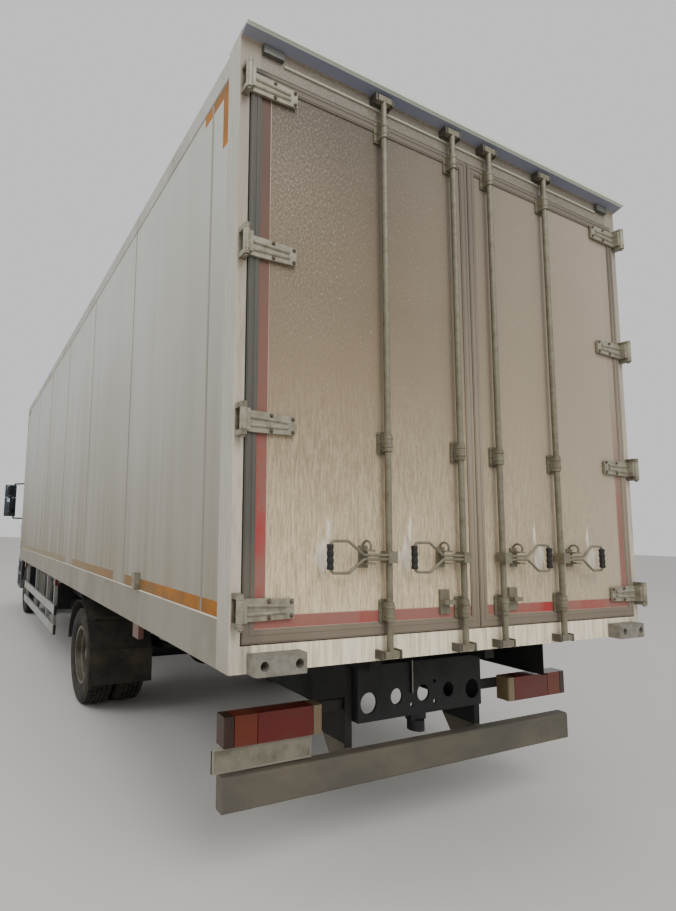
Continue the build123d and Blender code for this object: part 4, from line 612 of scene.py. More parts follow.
def done(piece):
    """Back from edit mode."""
    bpy.ops.object.mode_set(mode="OBJECT")
    return piece


def turn_outwards(piece):
    """All faces of a closed piece turned outwards, and back from edit mode."""
    bpy.ops.mesh.select_all(action="SELECT")
    bpy.ops.mesh.normals_make_consistent(inside=False)
    return done(piece)


def draw_out(move):
    """Extrude what is selected by a move."""
    bpy.ops.mesh.extrude_region_move(TRANSFORM_OT_translate={"value": move})


def step_in(piece, direction, *steps):
    """Inset the face that looks in a direction, once for each (width, rise)."""
    pick(piece, facing(direction))
    for width, rise in steps:
        bpy.ops.mesh.inset(thickness=width, depth=rise)
    return done(piece)


def modified(piece, kind, **settings):
    """One modifier added, set and applied."""
    choose(piece)
    modifier = piece.modifiers.new("step", kind)
    for name, value in settings.items():
        setattr(modifier, name, value)
    bpy.ops.object.modifier_apply(modifier="step")
    return piece


def soften(piece, width, segments=2):
    """Round the sharp edges."""
    return modified(piece, "BEVEL", width=width, segments=segments, limit_method="ANGLE")


# %% Helpers: copy, mirror and hand over
def join(pieces):
    """Several pieces made one."""
    deselect()
    for piece in pieces:
        piece.select_set(True)
    bpy.context.view_layer.objects.active = pieces[0]
    if len(pieces) > 1:
        bpy.ops.object.join()
    return bpy.context.object


def copied(piece):
    """Copy of a piece with its own mesh."""
    choose(piece)
    bpy.ops.object.duplicate(linked=False)
    return bpy.context.object


def repeat(piece, places):
    """Copies of a piece at each offset, joined. The first one is used up."""
    made = []
    for offset in places:
        twin = copied(piece)
        twin.location = offset
        made.append(settle(twin))
    bpy.data.objects.remove(piece)
    return join(made)


def other_side(piece):
    """Mirror image of a piece across the middle of the truck, with its faces turned outwards."""
    twin = copied(piece)
    twin.scale = (-1, 1, 1)
    settle(twin)
    bpy.ops.object.mode_set(mode="EDIT")
    return turn_outwards(twin)


def both_sides(piece):
    """A piece and its mirror image made one."""
    return join([piece, other_side(piece)])


def hand_over(piece, name, material, body, smooth=True):
    """Name, finish and body of a finished piece."""
    settle(piece)
    piece.name = name
    piece.data.name = name
    piece.data.materials.clear()
    piece.data.materials.append(material)
    if smooth:
        bpy.ops.object.shade_smooth_by_angle(angle=radians(35))
    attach(piece, body)
    print(name, "on", body, "with", len(piece.data.polygons), "faces")
    return piece


def hand_over_pair(left, name, material, body, smooth=True):
    """A left piece and its mirror image, each on its own side's body."""
    right = other_side(left)
    for piece, side in ((left, "_left"), (right, "_right")):
        hand_over(piece, name + side, material, body + side, smooth)


# %% [markdown]
# ## Tyres: a spun section with a cut tread
# A truck tyre's section has four straight grooves round it, and a row of pockets across each rib
# gives the drive tread its blocks. The section's points stand in a table of distance across and
# distance from the axle. Spinning them makes the ring, and every third face of a rib is then inset
# and sunk. The CAD tyre has neither, so these tyres replace it.

# %% Tyre section and tread
TYRE_STEPS = 132
POCKET_EVERY = 3
TREAD_RADIUS, INNER_RIB = 0.388, 0.03
# across the tread, distance from the axle
HALF_SECTION = [
    (0.000, 0.3950), (0.012, 0.3949), (0.014, 0.3840), (0.022, 0.3840), (0.024, 0.3946),
    (0.050, 0.3938), (0.052, 0.3830), (0.061, 0.3830), (0.063, 0.3932), (0.097, 0.3895),
    (0.104, 0.3800), (0.1075, 0.3660), (0.1120, 0.3610), (0.1150, 0.3450), (0.1170, 0.3200),
    (0.1150, 0.2950), (0.1085, 0.2760), (0.1100, 0.2720), (0.1030, 0.2640), (0.0940, 0.2500),
    (0.0860, 0.2440), (0.0840, 0.2230), (0.0620, 0.2230), (0.0980, 0.3180), (0.0760, 0.3680),
]


def spun(section, steps):
    """Closed ring round the X axis, from a closed section of (across, radius) points."""
    deselect()
    bpy.ops.mesh.primitive_circle_add(vertices=len(section), radius=0.1)
    piece = bpy.context.object
    for point, (across, radius) in zip(piece.data.vertices, section):
        point.co = (across, 0, radius)
    bpy.ops.object.mode_set(mode="EDIT")
    bpy.ops.mesh.select_all(action="SELECT")
    bpy.ops.mesh.spin(steps=steps, angle=2 * pi, center=(0, 0, 0), axis=(1, 0, 0))
    bpy.ops.mesh.select_all(action="SELECT")
    bpy.ops.mesh.remove_doubles(threshold=0.00001)
    return turn_outwards(piece)


def is_pocket(centre, normal):
    """Every third face of a rib of the tread, offset from rib to rib."""
    radius = (centre.y**2 + centre.z**2) ** 0.5
    if radius < TREAD_RADIUS or abs(normal.x) > 0.4:
        return False
    turned = Vector((centre.y, centre.z)).angle_signed(Vector((0, 1))) / (2 * pi)
    step = int(round(turned * TYRE_STEPS - 0.5))
    return (step + (1 if abs(centre.x) > INNER_RIB else 0)) % POCKET_EVERY == 0


section = HALF_SECTION + [(-across, radius) for across, radius in reversed(HALF_SECTION[1:])]
tyre = spun(section, TYRE_STEPS)
pick(tyre, is_pocket)
bpy.ops.mesh.inset(thickness=0.0035, depth=-0.007, use_individual=True)
done(tyre)
print("tyre faces", len(tyre.data.polygons))

# %% Tyres on their wheels
TYRE_HALF = 0.1175
TWIN_WIDTH = 0.3
AXLES = {}
# node, body
TYRES = [
    ("tyre_front_left", "wheel_front_left"),
    ("tyre_front_right", "wheel_front_right"),
    ("tyres_rear_left", "wheels_rear_left"),
    ("tyres_rear_right", "wheels_rear_right"),
]
for name, body in TYRES:
    low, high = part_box(name)
    hub = (low + high) / 2
    AXLES[body] = hub
    centres = [hub.x] if high.x - low.x < TWIN_WIDTH else [low.x + TYRE_HALF, high.x - TYRE_HALF]
    ring = repeat(copied(tyre), [(x, hub.y, hub.z) for x in centres])
    hand_over(ring, name + "_tread", finishes["tyre_rubber"], body)
    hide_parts(name)
bpy.data.objects.remove(tyre)

# %% [markdown]
# ## Wheel nuts and hubs
# Each rim is held by a ring of large hexagon nuts on studs. A nut is a six-sided bar with its top
# edge rounded, on a wider washer, and one nut is modelled and copied round the circle. The hub's
# end is a forged flange with a smaller ring of bolts, or a pressed cap on the front wheels.


# %% Nuts and hub ends
def nut(radius, height, washer):
    """Hexagon nut on a washer, standing along +X on the origin."""
    body = soften(rod((height / 2, 0, 0), radius, height, "x", 6), radius * 0.14)
    disc = soften(rod((height * 0.06, 0, 0), washer, height * 0.16, "x", 20), height * 0.03)
    stud = rod((height * 0.6, 0, 0), radius * 0.52, height * 1.2, "x", 12)
    return join([body, disc, soften(stud, radius * 0.08)])


def ring_places(circle, x, count=8):
    """Offsets of copies round the X axis."""
    angles = [2 * pi * step / count for step in range(count)]
    return [(x, circle * cos(angle), circle * sin(angle)) for angle in angles]


def hub_end(face_x, nut_x, nut_circle, cap_radius):
    """Nuts on their circle with the hub's end, for a wheel whose outside looks to +X."""
    nuts = repeat(nut(0.016, 0.024, 0.021), ring_places(nut_circle, nut_x))
    cap = rod((face_x + 0.006, 0, 0), cap_radius, 0.012, "x", 40)
    flange, dome, button = cap_radius * 0.22, cap_radius * 0.1, cap_radius * 0.25
    soften(step_in(cap, OUTWARDS, (flange, 0.0), (dome, 0.014), (button, 0.006)), 0.002)
    screws = repeat(nut(0.0065, 0.007, 0.0085), ring_places(cap_radius * 0.87, face_x + 0.012))
    return join([nuts, cap, screws])


# body, hub face from the wheel's middle, nut seat, nut circle, cap radius
HUBS = [
    ("wheel_front_left", 0.1, 0.062, 0.097, 0.072),
    ("wheels_rear_left", 0.151, 0.073, 0.107, 0.082),
]
for left_body, *sizes in HUBS:
    for body in (left_body, left_body.replace("left", "right")):
        piece = hub_end(*sizes)
        if AXLES[body].x < 0:
            twin = other_side(piece)
            bpy.data.objects.remove(piece)
            piece = twin
        piece.location = AXLES[body]
        hand_over(piece, body + "_nuts", finishes["rim_enamel_and_painted_shade"], body)

# %% [markdown]
# ## Bolts of the hinges
# Four bolts hold each hinge strap to its door. Their plating has gone, so they are brown. One bolt
# is modelled along +X, turned to look to the rear, and copied to every hinge of the left door. A
# mirror image of the set serves the right door.

# %% Hinge bolts
HINGE_Z = [1.196 + 2.09 / 3 * step for step in range(4)]
STRAP_FACE_Y = REAR_Y + 0.015
# distance from the middle, height from the hinge's centre
STRAP_BOLTS = [(1.045, 0.026), (1.045, -0.026), (1.143, 0.030), (1.143, -0.030)]


def rear_nut(*sizes):
    """Nut that looks to the rear."""
    piece = nut(*sizes)
    piece.rotation_euler = (0, 0, pi / 2)
    return settle(piece)


bolt_places = [(x, STRAP_FACE_Y, z + up) for z in HINGE_Z for x, up in STRAP_BOLTS]
bolts = repeat(rear_nut(0.0065, 0.007, 0.009), bolt_places)
rusty_steel = finishes["rusty_bolt_steel"]
hand_over_pair(bolts, "hinge_bolts", rusty_steel, "rear_door")

# %% [markdown]
# ## Reflective tapes
# Contour tape is a plastic film half a millimetre thick with tiny prisms behind a clear face. The
# burgundy film is 50 mm wide and runs down the outer edge of each door and along its foot. The
# orange one runs along the walls' lower edge and in their upper corners, with gaps where it has
# peeled. The prisms are far too fine to show, so they are a mottle of 6 mm. Dust hides most of the
# red high on the doors and little of it near the sill. The film is cut from a roll whose two edges
# are sealed, and dust doesn't stick to the seal, so its edges are fine pale lines.


# %% Prismatic film
def tape_film(name, clean, faded, dusty, aged, low, high, axis):
    """Film with patches of dust. Along an axis it is dusty at low, and all aged dust at high."""
    material, shader, node, place = start_material(name, clean, 0.45)
    feed(shader["Specular IOR Level"], 0.15)
    coordinates = node("SeparateXYZ", place, out=slice(3))
    cells = pattern(node, place, 160.0, detail=1.0)
    drift = pattern(node, place, (3.0, 3.0, 2.0), detail=5.0, rough=0.7)
    along = node("MapRange", coordinates[axis], low, high)
    far_top = node("MapRange", coordinates[X], -0.3, -0.9)
    far_top = node("MapRange", coordinates[Z], 1.5, 2.4, 0.0, far_top)
    dust = layered(node, dusty, (aged, along), ("#9d9282", far_top))
    cover = node("MapRange", drift, 0.36, 0.52)
    for more in (along, far_top):
        cover = node("Math", cover, more, operation="ADD")
    film = layered(
        node,
        clean,
        (faded, node("MapRange", cells, 0.4, 0.7)),
        (dust, node("MapRange", cover, 0.0, 1.1)),
    )
    surface(shader, node, film, cells, 0.0002)
    return dress(material, "")


# name, clean, faded, dusty, aged, low, high, axis
FILMS = [
    ("burgundy_prismatic_film", "#a83c3c", "#9f3b3b", "#98685d", "#604d44", 1.0, 3.0, Z),
    ("orange_prismatic_film", "#ad6a08", "#a06414", "#7a5429", "#857a60", 4.4, 0.6, Y),
]
red_film, orange_film = (tape_film(*row) for row in FILMS)

# %% Burgundy film on the doors
FILM = 0.0006
SEAL_RISE = 0.0003
# from side, to side, from height, to height
RED_RUNS = [(1.150, 1.200, 1.123, 3.315), (0.053, 1.150, 1.123, 1.173)]
FILM_EDGES = [
    (1.1975, 1.2000, 1.123, 3.315),
    (1.1500, 1.1525, 1.173, 3.315),
    (0.0530, 1.1975, 1.123, 1.1255),
    (0.0530, 1.1500, 1.1705, 1.173),
]


def on_door(runs, low, high):
    """Thin strips that stand between two heights over the left door's face."""
    low, high = DOOR_FACE_Y + low, DOOR_FACE_Y + high
    return join([block((x0, low, z0), (x1, high, z1)) for x0, x1, z0, z1 in runs])


sealed = finish("sealed_film_edge", "#c9a596", "#8d7a6c", 0.5, 0.0, 0.8, (2.0, 2.0, 1.0))
# name, finish, strips, their two heights over the door's face
RED_TAPES = [
    ("red_tape", red_film, RED_RUNS, 0.0, FILM),
    ("red_tape_edges", sealed, FILM_EDGES, FILM, FILM + SEAL_RISE),
]
for name, material, runs, *heights in RED_TAPES:
    strips = on_door(runs, *heights)
    hand_over_pair(strips, name, material, "rear_door", smooth=False)

# %% Orange film on the walls
WALL_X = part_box("side_wall_left")[1].x
# rear end, front end, lower edge, upper edge, all from the rear face and the sill
ORANGE_RUNS = [
    (-0.102, -0.250, 0.186, 0.243),
    (-0.262, -1.350, 0.186, 0.243),
    (-1.610, -2.990, 0.186, 0.243),
    (-3.300, -4.750, 0.186, 0.243),
    (-4.790, -7.150, 0.186, 0.243),
    (-0.102, -0.340, 2.355, 2.405),
    (-0.102, -0.152, 2.120, 2.355),
    (-7.110, -7.350, 2.355, 2.405),
    (-7.300, -7.350, 2.120, 2.355),
]
orange = [
    block((WALL_X, REAR_Y + front, SILL_Z + low), (WALL_X + FILM, REAR_Y + rear, SILL_Z + high))
    for rear, front, low, high in ORANGE_RUNS
]
orange = both_sides(join(orange))
hand_over(orange, "orange_tape", orange_film, "chassis", smooth=False)

# %% [markdown]
# ## Joints of the wall panels
# Between the wall's panels runs a narrow flat bead of sealant with a covering strip. Each strip is
# a long low block whose long edges are rounded, and the walls share one pattern of joints: one near
# the rear post, then one every 1.13 m. Along the walls' foot the skirt rail ends in a worn bead.

# %% Joint strips and skirt beads
JOINTS = [REAR_Y - 0.256] + [REAR_Y - 1.385 - 1.13 * step for step in range(6)]
STRIP_LOW, STRIP_HIGH = SKIRT_TOP + 0.002, WALL_TOP - 0.002
strips = [
    block((WALL_X, y - 0.007, STRIP_LOW), (WALL_X + 0.0015, y + 0.007, STRIP_HIGH)) for y in JOINTS
]
strips = both_sides(join([soften(strip, 0.0006) for strip in strips]))
sealant = finish("joint_sealant", "#8d8a80", "#7b7566", 0.7, 0.0, 0.6, (9.0, 9.0, 1.0))
hand_over(strips, "wall_joint_strips", sealant, "chassis")
BEAD_PROUD, BEAD_HALF = 0.0045, 0.003
bead = block(
    (WALL_X, DOOR_LOW.y - 7.1, SKIRT_TOP - BEAD_HALF),
    (WALL_X + BEAD_PROUD, REAR_Y - 0.1, SKIRT_TOP + BEAD_HALF),
)
rail_edge = finish("worn_rail_edge", "#cdc8b9", "#a8a190", 0.5, 0.0, 0.6, 12.0)
hand_over(both_sides(soften(bead, 0.001)), "skirt_beads", rail_edge, "chassis")

# %% [markdown]
# ## Lips of the door seals
# A door seal is an extruded rubber band with two raised lips that press on the frame. The lips run
# right round each door. A sheet the size of the door is inset twice, all but the ring between the
# two insets is deleted, and the ring is drawn out to the rear, so its corners have no seam.


# %% Seal lips
def frame_of(low, high, from_edge, width, rise):
    """Raised frame with a rectangular outline on the upright face at y, drawn out by rise."""
    deselect()
    middle, size = (low + high) / 2, high - low
    bpy.ops.mesh.primitive_plane_add(size=1, location=middle, rotation=(-pi / 2, 0, 0))
    sheet = bpy.context.object
    sheet.scale = (size.x, size.z, 1)
    settle(sheet)
    step_in(sheet, REARWARDS, (from_edge, 0.0), (width, 0.0))

    def off_ring(centre, normal):
        apart = centre - middle
        gap = min(size.x / 2 - abs(apart.x), size.z / 2 - abs(apart.z))
        return gap < from_edge * 0.999 or gap > from_edge + width

    pick(sheet, off_ring)
    bpy.ops.mesh.delete(type="FACE")
    bpy.ops.mesh.select_all(action="SELECT")
    draw_out((0, rise, 0))
    turn_outwards(sheet)
    return soften(sheet, rise * 0.45, 3)


LIP_WIDTH, LIP_RISE, LIPS_FROM_EDGE = 0.014, 0.002, (0.004, 0.030)
seal_low, seal_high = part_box("door_seal_left")
seal_low = Vector((seal_low.x, seal_high.y, seal_low.z))
lips = [frame_of(seal_low, seal_high, start, LIP_WIDTH, LIP_RISE) for start in LIPS_FROM_EDGE]
hand_over_pair(join(lips), "seal_lip", seal_rubber, "rear_door")

# %% [markdown]
# ## Grips of the lock handles
# Each wire handle ends in a black rubber sleeve that a gloved hand pulls. It is a short tube with
# rounded ends and ribs, so it is a cylinder that is cut into rings, and every second ring is drawn
# in a little.

# %% Handle grips
GRIP_REACH, GRIP_PROUD = 0.318, 0.0485
GRIP_RADIUS, GRIP_LENGTH, GRIP_RINGS = 0.0135, 0.098, 7


def is_side(centre, normal):
    """Round side of an upright rod."""
    return abs(normal.z) < 0.5


def is_groove(centre, normal):
    """Every second ring of the side."""
    ring = int((centre.z + GRIP_LENGTH / 2) / (GRIP_LENGTH / GRIP_RINGS))
    return is_side(centre, normal) and ring % 2 == 1


grip_rubber = finish("moulded_grip_rubber", "#1c1b1a", "#3d3a33", 0.7, 0.0, 0.5, 30.0)
grip = rod((0, 0, 0), GRIP_RADIUS, GRIP_LENGTH, "z", 20)
pick(grip, is_side)
bpy.ops.mesh.subdivide(number_cuts=GRIP_RINGS - 1)
done(grip)
pick(grip, is_groove)
bpy.ops.mesh.inset(thickness=0.002, depth=-0.0015)
done(grip)
grip_places = [(x + GRIP_REACH, REAR_Y + GRIP_PROUD, HANDLE_Z) for x in ROD_X]
grips = repeat(soften(grip, 0.0015), grip_places)
hand_over_pair(grips, "handle_grips", grip_rubber, "rear_door")

# %% [markdown]
# ## Number plate: blank, in a thin frame
# The plate is a pressed aluminium sheet with a raised rim. It carries nothing. Its face is inset
# twice: once flat for the rim's width, once sunk by a millimetre for the field. An extruded
# aluminium frame with a lower lip holds it.

# %% Blank plate and frame
PLATE_LOW, PLATE_HIGH = Vector((0.690, 4.277, 0.484)), Vector((1.184, 4.2795, 0.574))
plate_finish = finish("pressed_plate_aluminium", "#7d7869", "#565041", 0.5, 0.0, 0.7, 12.0)
plate = soften(block(PLATE_LOW, PLATE_HIGH), 0.0008)
step_in(plate, REARWARDS, (0.005, 0.0), (0.0015, -0.0012))
hand_over(plate, "number_plate_blank", plate_finish, "chassis")
holder = block(
    PLATE_LOW - Vector((0.004, 0.003, 0.008)), PLATE_HIGH + Vector((0.001, 0.0015, 0.004))
)
pick(holder, facing(REARWARDS))
bpy.ops.mesh.inset(thickness=0.009)
draw_out((0, -0.005, 0))
soften(done(holder), 0.0012)
rail_finish = finishes["extruded_aluminium"]
hand_over(holder, "plate_holder", rail_finish, "chassis")

# %% [markdown]
# ## Rod guides: ringed clamps with small bolts
# A guide holds the lock rod in a pressed half shell that is bolted over a plate. Two raised rings
# stiffen the shell. A ring is a short cylinder with rounded rims round the rod, and six small
# bolts stand in two rows beside it. One guide's set is made and copied to all six of a door.

# %% Rings and bolts of the guides
ROD_Y = REAR_Y + 0.03
GUIDE_Z = (SILL_Z + 0.198, SILL_Z + 0.900, BOX_TOP - 0.184)
RING_UP, BOLT_SIDE, BOLT_UP = 0.018, 0.027, 0.037
rings = [
    soften(rod((0, ROD_Y, up), 0.0215, 0.011, "z", 28), 0.0035, 3) for up in (-RING_UP, RING_UP)
]
sides, levels = (-BOLT_SIDE, BOLT_SIDE), (-BOLT_UP, 0.0, BOLT_UP)
bolts = repeat(
    rear_nut(0.0048, 0.004, 0.0062), [(x, REAR_Y + 0.006, up) for x in sides for up in levels]
)
guides = repeat(join([*rings, bolts]), [(x, 0, z) for x in ROD_X for z in GUIDE_Z])
lock_finish = finishes["galvanised_lock_gear"]
hand_over_pair(guides, "guide_rings", lock_finish, "rear_door")

# %% [markdown]
# ## Headlamps: tray, bowls, bulbs and cover
# A headlamp is a black moulded tray with two bright bowls for low and high beam, an amber
# indicator at the outer end, and a clear cover. The tray is a block whose front is inset and
# pushed in. A bowl is a cylinder whose front is pushed in by rings, each one narrower and deeper,
# so that it becomes a dish. The CAD lamp is a plain block, so these pieces replace it.

# %% Left headlamp, then its mirror image
LAMP_LOW, LAMP_HIGH = Vector((0.740, -4.683, 0.540)), Vector((1.050, -4.597, 0.680))
BOWL_X, BOWL_RADIUS, BOWL_Z = (0.806, 0.921), 0.055, 0.610
# share of the radius, depth
DISH = [(0.18, 0.014), (0.22, 0.010), (0.25, 0.006)]


def lamp_bowl(x, radius):
    """Bright dish that looks forwards, with its bulb."""
    bowl = rod((x, LAMP_LOW.y + 0.034, BOWL_Z), radius, 0.040, "y", 40)
    step_in(bowl, FORWARDS, (0.003, 0.0), *[(radius * share, -depth) for share, depth in DISH])
    bulb = rod((x, LAMP_LOW.y + 0.032, BOWL_Z), radius * 0.16, 0.026, "y", 20)
    return join([bowl, soften(bulb, radius * 0.12, 4)])


tray = block(LAMP_LOW + Vector((0, 0.008, 0)), LAMP_HIGH)
pick(tray, facing(FORWARDS))
bpy.ops.mesh.inset(thickness=0.006)
draw_out((0, 0.045, 0))
soften(done(tray), 0.0015)
bowls = join([lamp_bowl(x, BOWL_RADIUS) for x in BOWL_X])
blinker = block((0.985, LAMP_LOW.y + 0.012, 0.552), (1.041, LAMP_LOW.y + 0.040, 0.668))
pick(blinker, facing(FORWARDS))
bpy.ops.mesh.subdivide(number_cuts=7)
done(blinker)
pick(blinker, facing(FORWARDS))
bpy.ops.mesh.inset(thickness=0.0008, depth=0.0025, use_individual=True)
done(blinker)
cover = soften(block(LAMP_LOW, (LAMP_HIGH.x, LAMP_LOW.y + 0.006, LAMP_HIGH.z)), 0.0025)

# %% Finishes of the headlamps
MIRROR_GRAIN = (300.0, 0.00001)
reflector = finish(
    "vacuum_metallised_reflector", "#dfe1e3", "#c9cac8", 0.1, 1.0, 0.1, bump=MIRROR_GRAIN
)
lamp_cover = clear("clear_polycarbonate_cover", "#eef2f3", 0.04, 1.2)
amber = finish("amber_moulded_acrylic", "#c8701c", "#9a5c22", 0.25, 0.0, 0.3, 40.0)
# piece, name, material
LAMP_PIECES = [
    (tray, "headlamp_trays", black_plastic),
    (bowls, "headlamp_bowls", reflector),
    (blinker, "headlamp_indicators", amber),
    (cover, "headlamp_covers", lamp_cover),
]
for piece, name, material in LAMP_PIECES:
    hand_over(both_sides(piece), name, material, "chassis")
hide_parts("headlamps")
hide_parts("headlamps")

# %% [markdown]
# ## Seals round the cab's glass
# A pane sits in a rubber profile that is pressed over the sheet metal's edge. Its outline is the
# opening's, with round corners. A plane is moved to the opening's corners and its corners are
# bevelled. The face is inset by the rubber's width, the middle is deleted, and the band that is
# left is drawn out of the panel.

# %% Rubber round the panes
SIDE_LEAN = 0.042 / 0.93
SCREEN_SLOPE = 0.305 / 0.91
SCREEN_OUT = Vector((0, -0.948, 0.318))
WAIST_Z = 1.5
BELOW_PAINT = -0.002


def gasket(corners, radius, width, rise):
    """Raised band on the plane through the four corners, drawn out by the vector rise."""
    deselect()
    bpy.ops.mesh.primitive_plane_add(size=1)
    band = bpy.context.object
    for index, corner in zip((0, 1, 3, 2), corners):
        band.data.vertices[index].co = corner
    choose(band)
    bpy.ops.object.mode_set(mode="EDIT")
    bpy.ops.mesh.select_all(action="SELECT")
    bpy.ops.mesh.bevel(offset=radius, segments=7, affect="VERTICES")
    bpy.ops.mesh.select_all(action="SELECT")
    bpy.ops.mesh.inset(thickness=width)
    bpy.ops.mesh.delete(type="FACE")
    bpy.ops.mesh.select_all(action="SELECT")
    draw_out(rise)
    turn_outwards(band)
    return soften(band, 0.003, 3)


def on_screen(x, z, out=0.0):
    """Point on the windscreen's plane, moved out of it."""
    return Vector((x, -4.655 + (z - WAIST_Z) * SCREEN_SLOPE, z)) + SCREEN_OUT * out


def on_side(y, z, out=0.0):
    """Point on the left cab side, moved out of it."""
    return Vector((1.140 - max(z - WAIST_Z, 0.0) * SIDE_LEAN + out, y, z))


# corners in order round the opening
SCREEN = [(-0.984, 1.556), (0.984, 1.556), (0.919, 2.284), (-0.919, 2.284)]
PANE = [(-4.382, 1.567), (-4.160, 2.243), (-3.397, 2.243), (-3.397, 1.567)]
glass_rubber = finish("extruded_glazing_rubber", "#121213", "#34322d", 0.6, 0.0, 0.5, 8.0)
screen_corners = [on_screen(x, z, BELOW_PAINT) for x, z in SCREEN]
screen_seal = gasket(screen_corners, 0.070, 0.030, SCREEN_OUT * 0.008)
hand_over(screen_seal, "windscreen_seal", glass_rubber, "cab")
pane_corners = [on_side(y, z, BELOW_PAINT) for y, z in PANE]
pane_seal = gasket(pane_corners, 0.058, 0.026, OUTWARDS * 0.008)
hand_over_pair(pane_seal, "door_glass_seal", glass_rubber, "cab_door")

# %% [markdown]
# ## Cab door handles
# The outside handle is a moulded dish with a pull bar across it and a lock barrel beside it. The
# dish is a block whose face is inset and pushed in, and the bar is a block with well rounded edges
# whose ends run into the dish.

# %% Handles and lock barrels
HANDLE_PLACE = Vector((1.140, -3.450, 1.270))


def by_handle(x, y, z):
    """Point given from the handle's place."""
    return HANDLE_PLACE + Vector((x, y, z))


dish = soften(block(by_handle(-0.012, -0.095, -0.040), by_handle(0.005, 0.070, 0.040)), 0.004, 3)
step_in(dish, OUTWARDS, (0.007, 0.0), (0.008, -0.012))
pull = soften(block(by_handle(0.002, -0.085, -0.014), by_handle(0.016, 0.055, 0.014)), 0.006, 4)
barrel = soften(rod(by_handle(0.004, 0.090, 0), 0.012, 0.008, "x", 28), 0.002)
handle = join([dish, pull, barrel])
hand_over_pair(handle, "cab_handle", black_plastic, "cab_door")

# %% [markdown]
# ## Mirror glasses
# Each mirror housing looks to the rear with a silvered glass in a thin rim. The wide-angle glass
# above is a little domed. Glass is modelled as a low block with a rounded edge, and its material is
# a polished metal, because all that shows of a mirror is its silver.

# %% Silvered glasses
GLASS_GRAIN = (300.0, 0.000005)
silver = finish("silvered_glass", "#4c5258", "#5c6063", 0.04, 1.0, 0.1, bump=GLASS_GRAIN)
# low z, high z
MIRROR_PANES = [(1.706, 2.034), (2.078, 2.284)]
panes = [
    soften(block((1.281, -4.492, low), (1.459, -4.4885, high)), 0.0015)
    for low, high in MIRROR_PANES
]
step_in(panes[1], REARWARDS, (0.02, 0.0015), (0.03, 0.0008))
hand_over(both_sides(join(panes)), "mirror_glasses", silver, "cab")

# %% [markdown]
# ## Wipers
# Two wipers park side by side along the lower edge of the windscreen. Each has a pressed arm that
# rises from its spindle and a rubber blade in a steel rail. Both are long blocks, tapered by
# scaling one end, laid flat at first and then leant back with the screen.

# %% Wiper arms and blades
SCREEN_LEAN, ARM_RISE = -0.3233, -0.06
SPINDLE_X, SPINDLE_Z, BLADE_REACH = (-0.820, 0.060), 1.528, 0.72


def tapered(piece, direction, scale):
    """Piece whose face in one direction is scaled."""
    pick(piece, facing(direction))
    bpy.ops.transform.resize(value=scale)
    return done(piece)


def wiper(x, reach):
    """Parked wiper whose spindle is at x and whose blade is reach long."""
    start, end = reach * 0.18, reach * 1.1
    spindle = soften(rod((0, -0.012, 0), 0.016, 0.024, "y", 28), 0.003)
    arm = block((-0.012, -0.030, -0.007), (reach * 0.62, -0.022, 0.009))
    arm = soften(tapered(arm, OUTWARDS, (1, 0.7, 0.45)), 0.002)
    rail = soften(block((start, -0.026, 0.006), (end, -0.018, 0.016)), 0.002)
    blade = tapered(block((start, -0.019, 0.008), (end, -0.008, 0.013)), REARWARDS, (1, 1, 0.3))
    piece = join([spindle, arm, rail, blade])
    piece.rotation_euler = (SCREEN_LEAN, ARM_RISE, 0)
    piece.location = on_screen(x, SPINDLE_Z)
    return settle(piece)


wipers = join([wiper(x, BLADE_REACH) for x in SPINDLE_X])
hand_over(wipers, "wipers", black_plastic, "cab")

# %% [markdown]
# ## Seats: foam pads under woven cloth
# A driver's seat has a foam cushion and back in a sewn cloth cover, with a head pad on two pins, on
# a sprung base inside rubber bellows. Each pad starts as a rounded block with an even skin of small
# faces. Its sides are drawn in between the corners and its face is crowned. A cloth simulation with
# air pressure then tightens the skin, as foam tightens a cover. The seams are pressed in last,
# because they are narrower than the skin's faces.

# %% Seat cloth
# Blender's waves are 0.314 m long at scale 1, and the weave's threads are drawn 4 mm apart.
THREAD_WAVES = 0.314 / 0.004
seat_cloth, shader, node, place = start_material("woven_seat_cloth", "#3b3f47", 0.92)
feed(shader["Sheen Weight"], 0.3)
weave = crossed(node, place, THREAD_WAVES)
worn = node("MapRange", pattern(node, place, 9.0, detail=5.0), 0.35, 0.75)
colour = layered(node, "#32363e", ("#4a4d54", worn), ("#5c6068", weave))
surface(shader, node, colour, weave, 0.0008)

# %% Foam pads
SKIN = 0.008
SWELL_LIMIT = 0.012
PRESSURE = 4.0
DRAWN_IN = 0.012
SEAM_WIDTH, SEAM_DEPTH = 0.012, 0.007


def tightened(piece):
    """Skin swollen by air pressure in a short cloth simulation, no point by more than the limit."""
    rest = [point.co.copy() for point in piece.data.vertices]
    choose(piece)
    stuffing = piece.modifiers.new("stuffing", "CLOTH")
    stuffing.settings.use_pressure = True
    stuffing.settings.uniform_pressure_force = PRESSURE
    stuffing.settings.effector_weights.gravity = 0
    for step in range(1, 21):
        bpy.context.scene.frame_set(step)
    bpy.ops.object.modifier_apply(modifier="stuffing")
    for point, start in zip(piece.data.vertices, rest):
        move = point.co - start
        if move.length > SWELL_LIMIT:
            point.co = start + move * (SWELL_LIMIT / move.length)
    bpy.context.scene.frame_set(1)


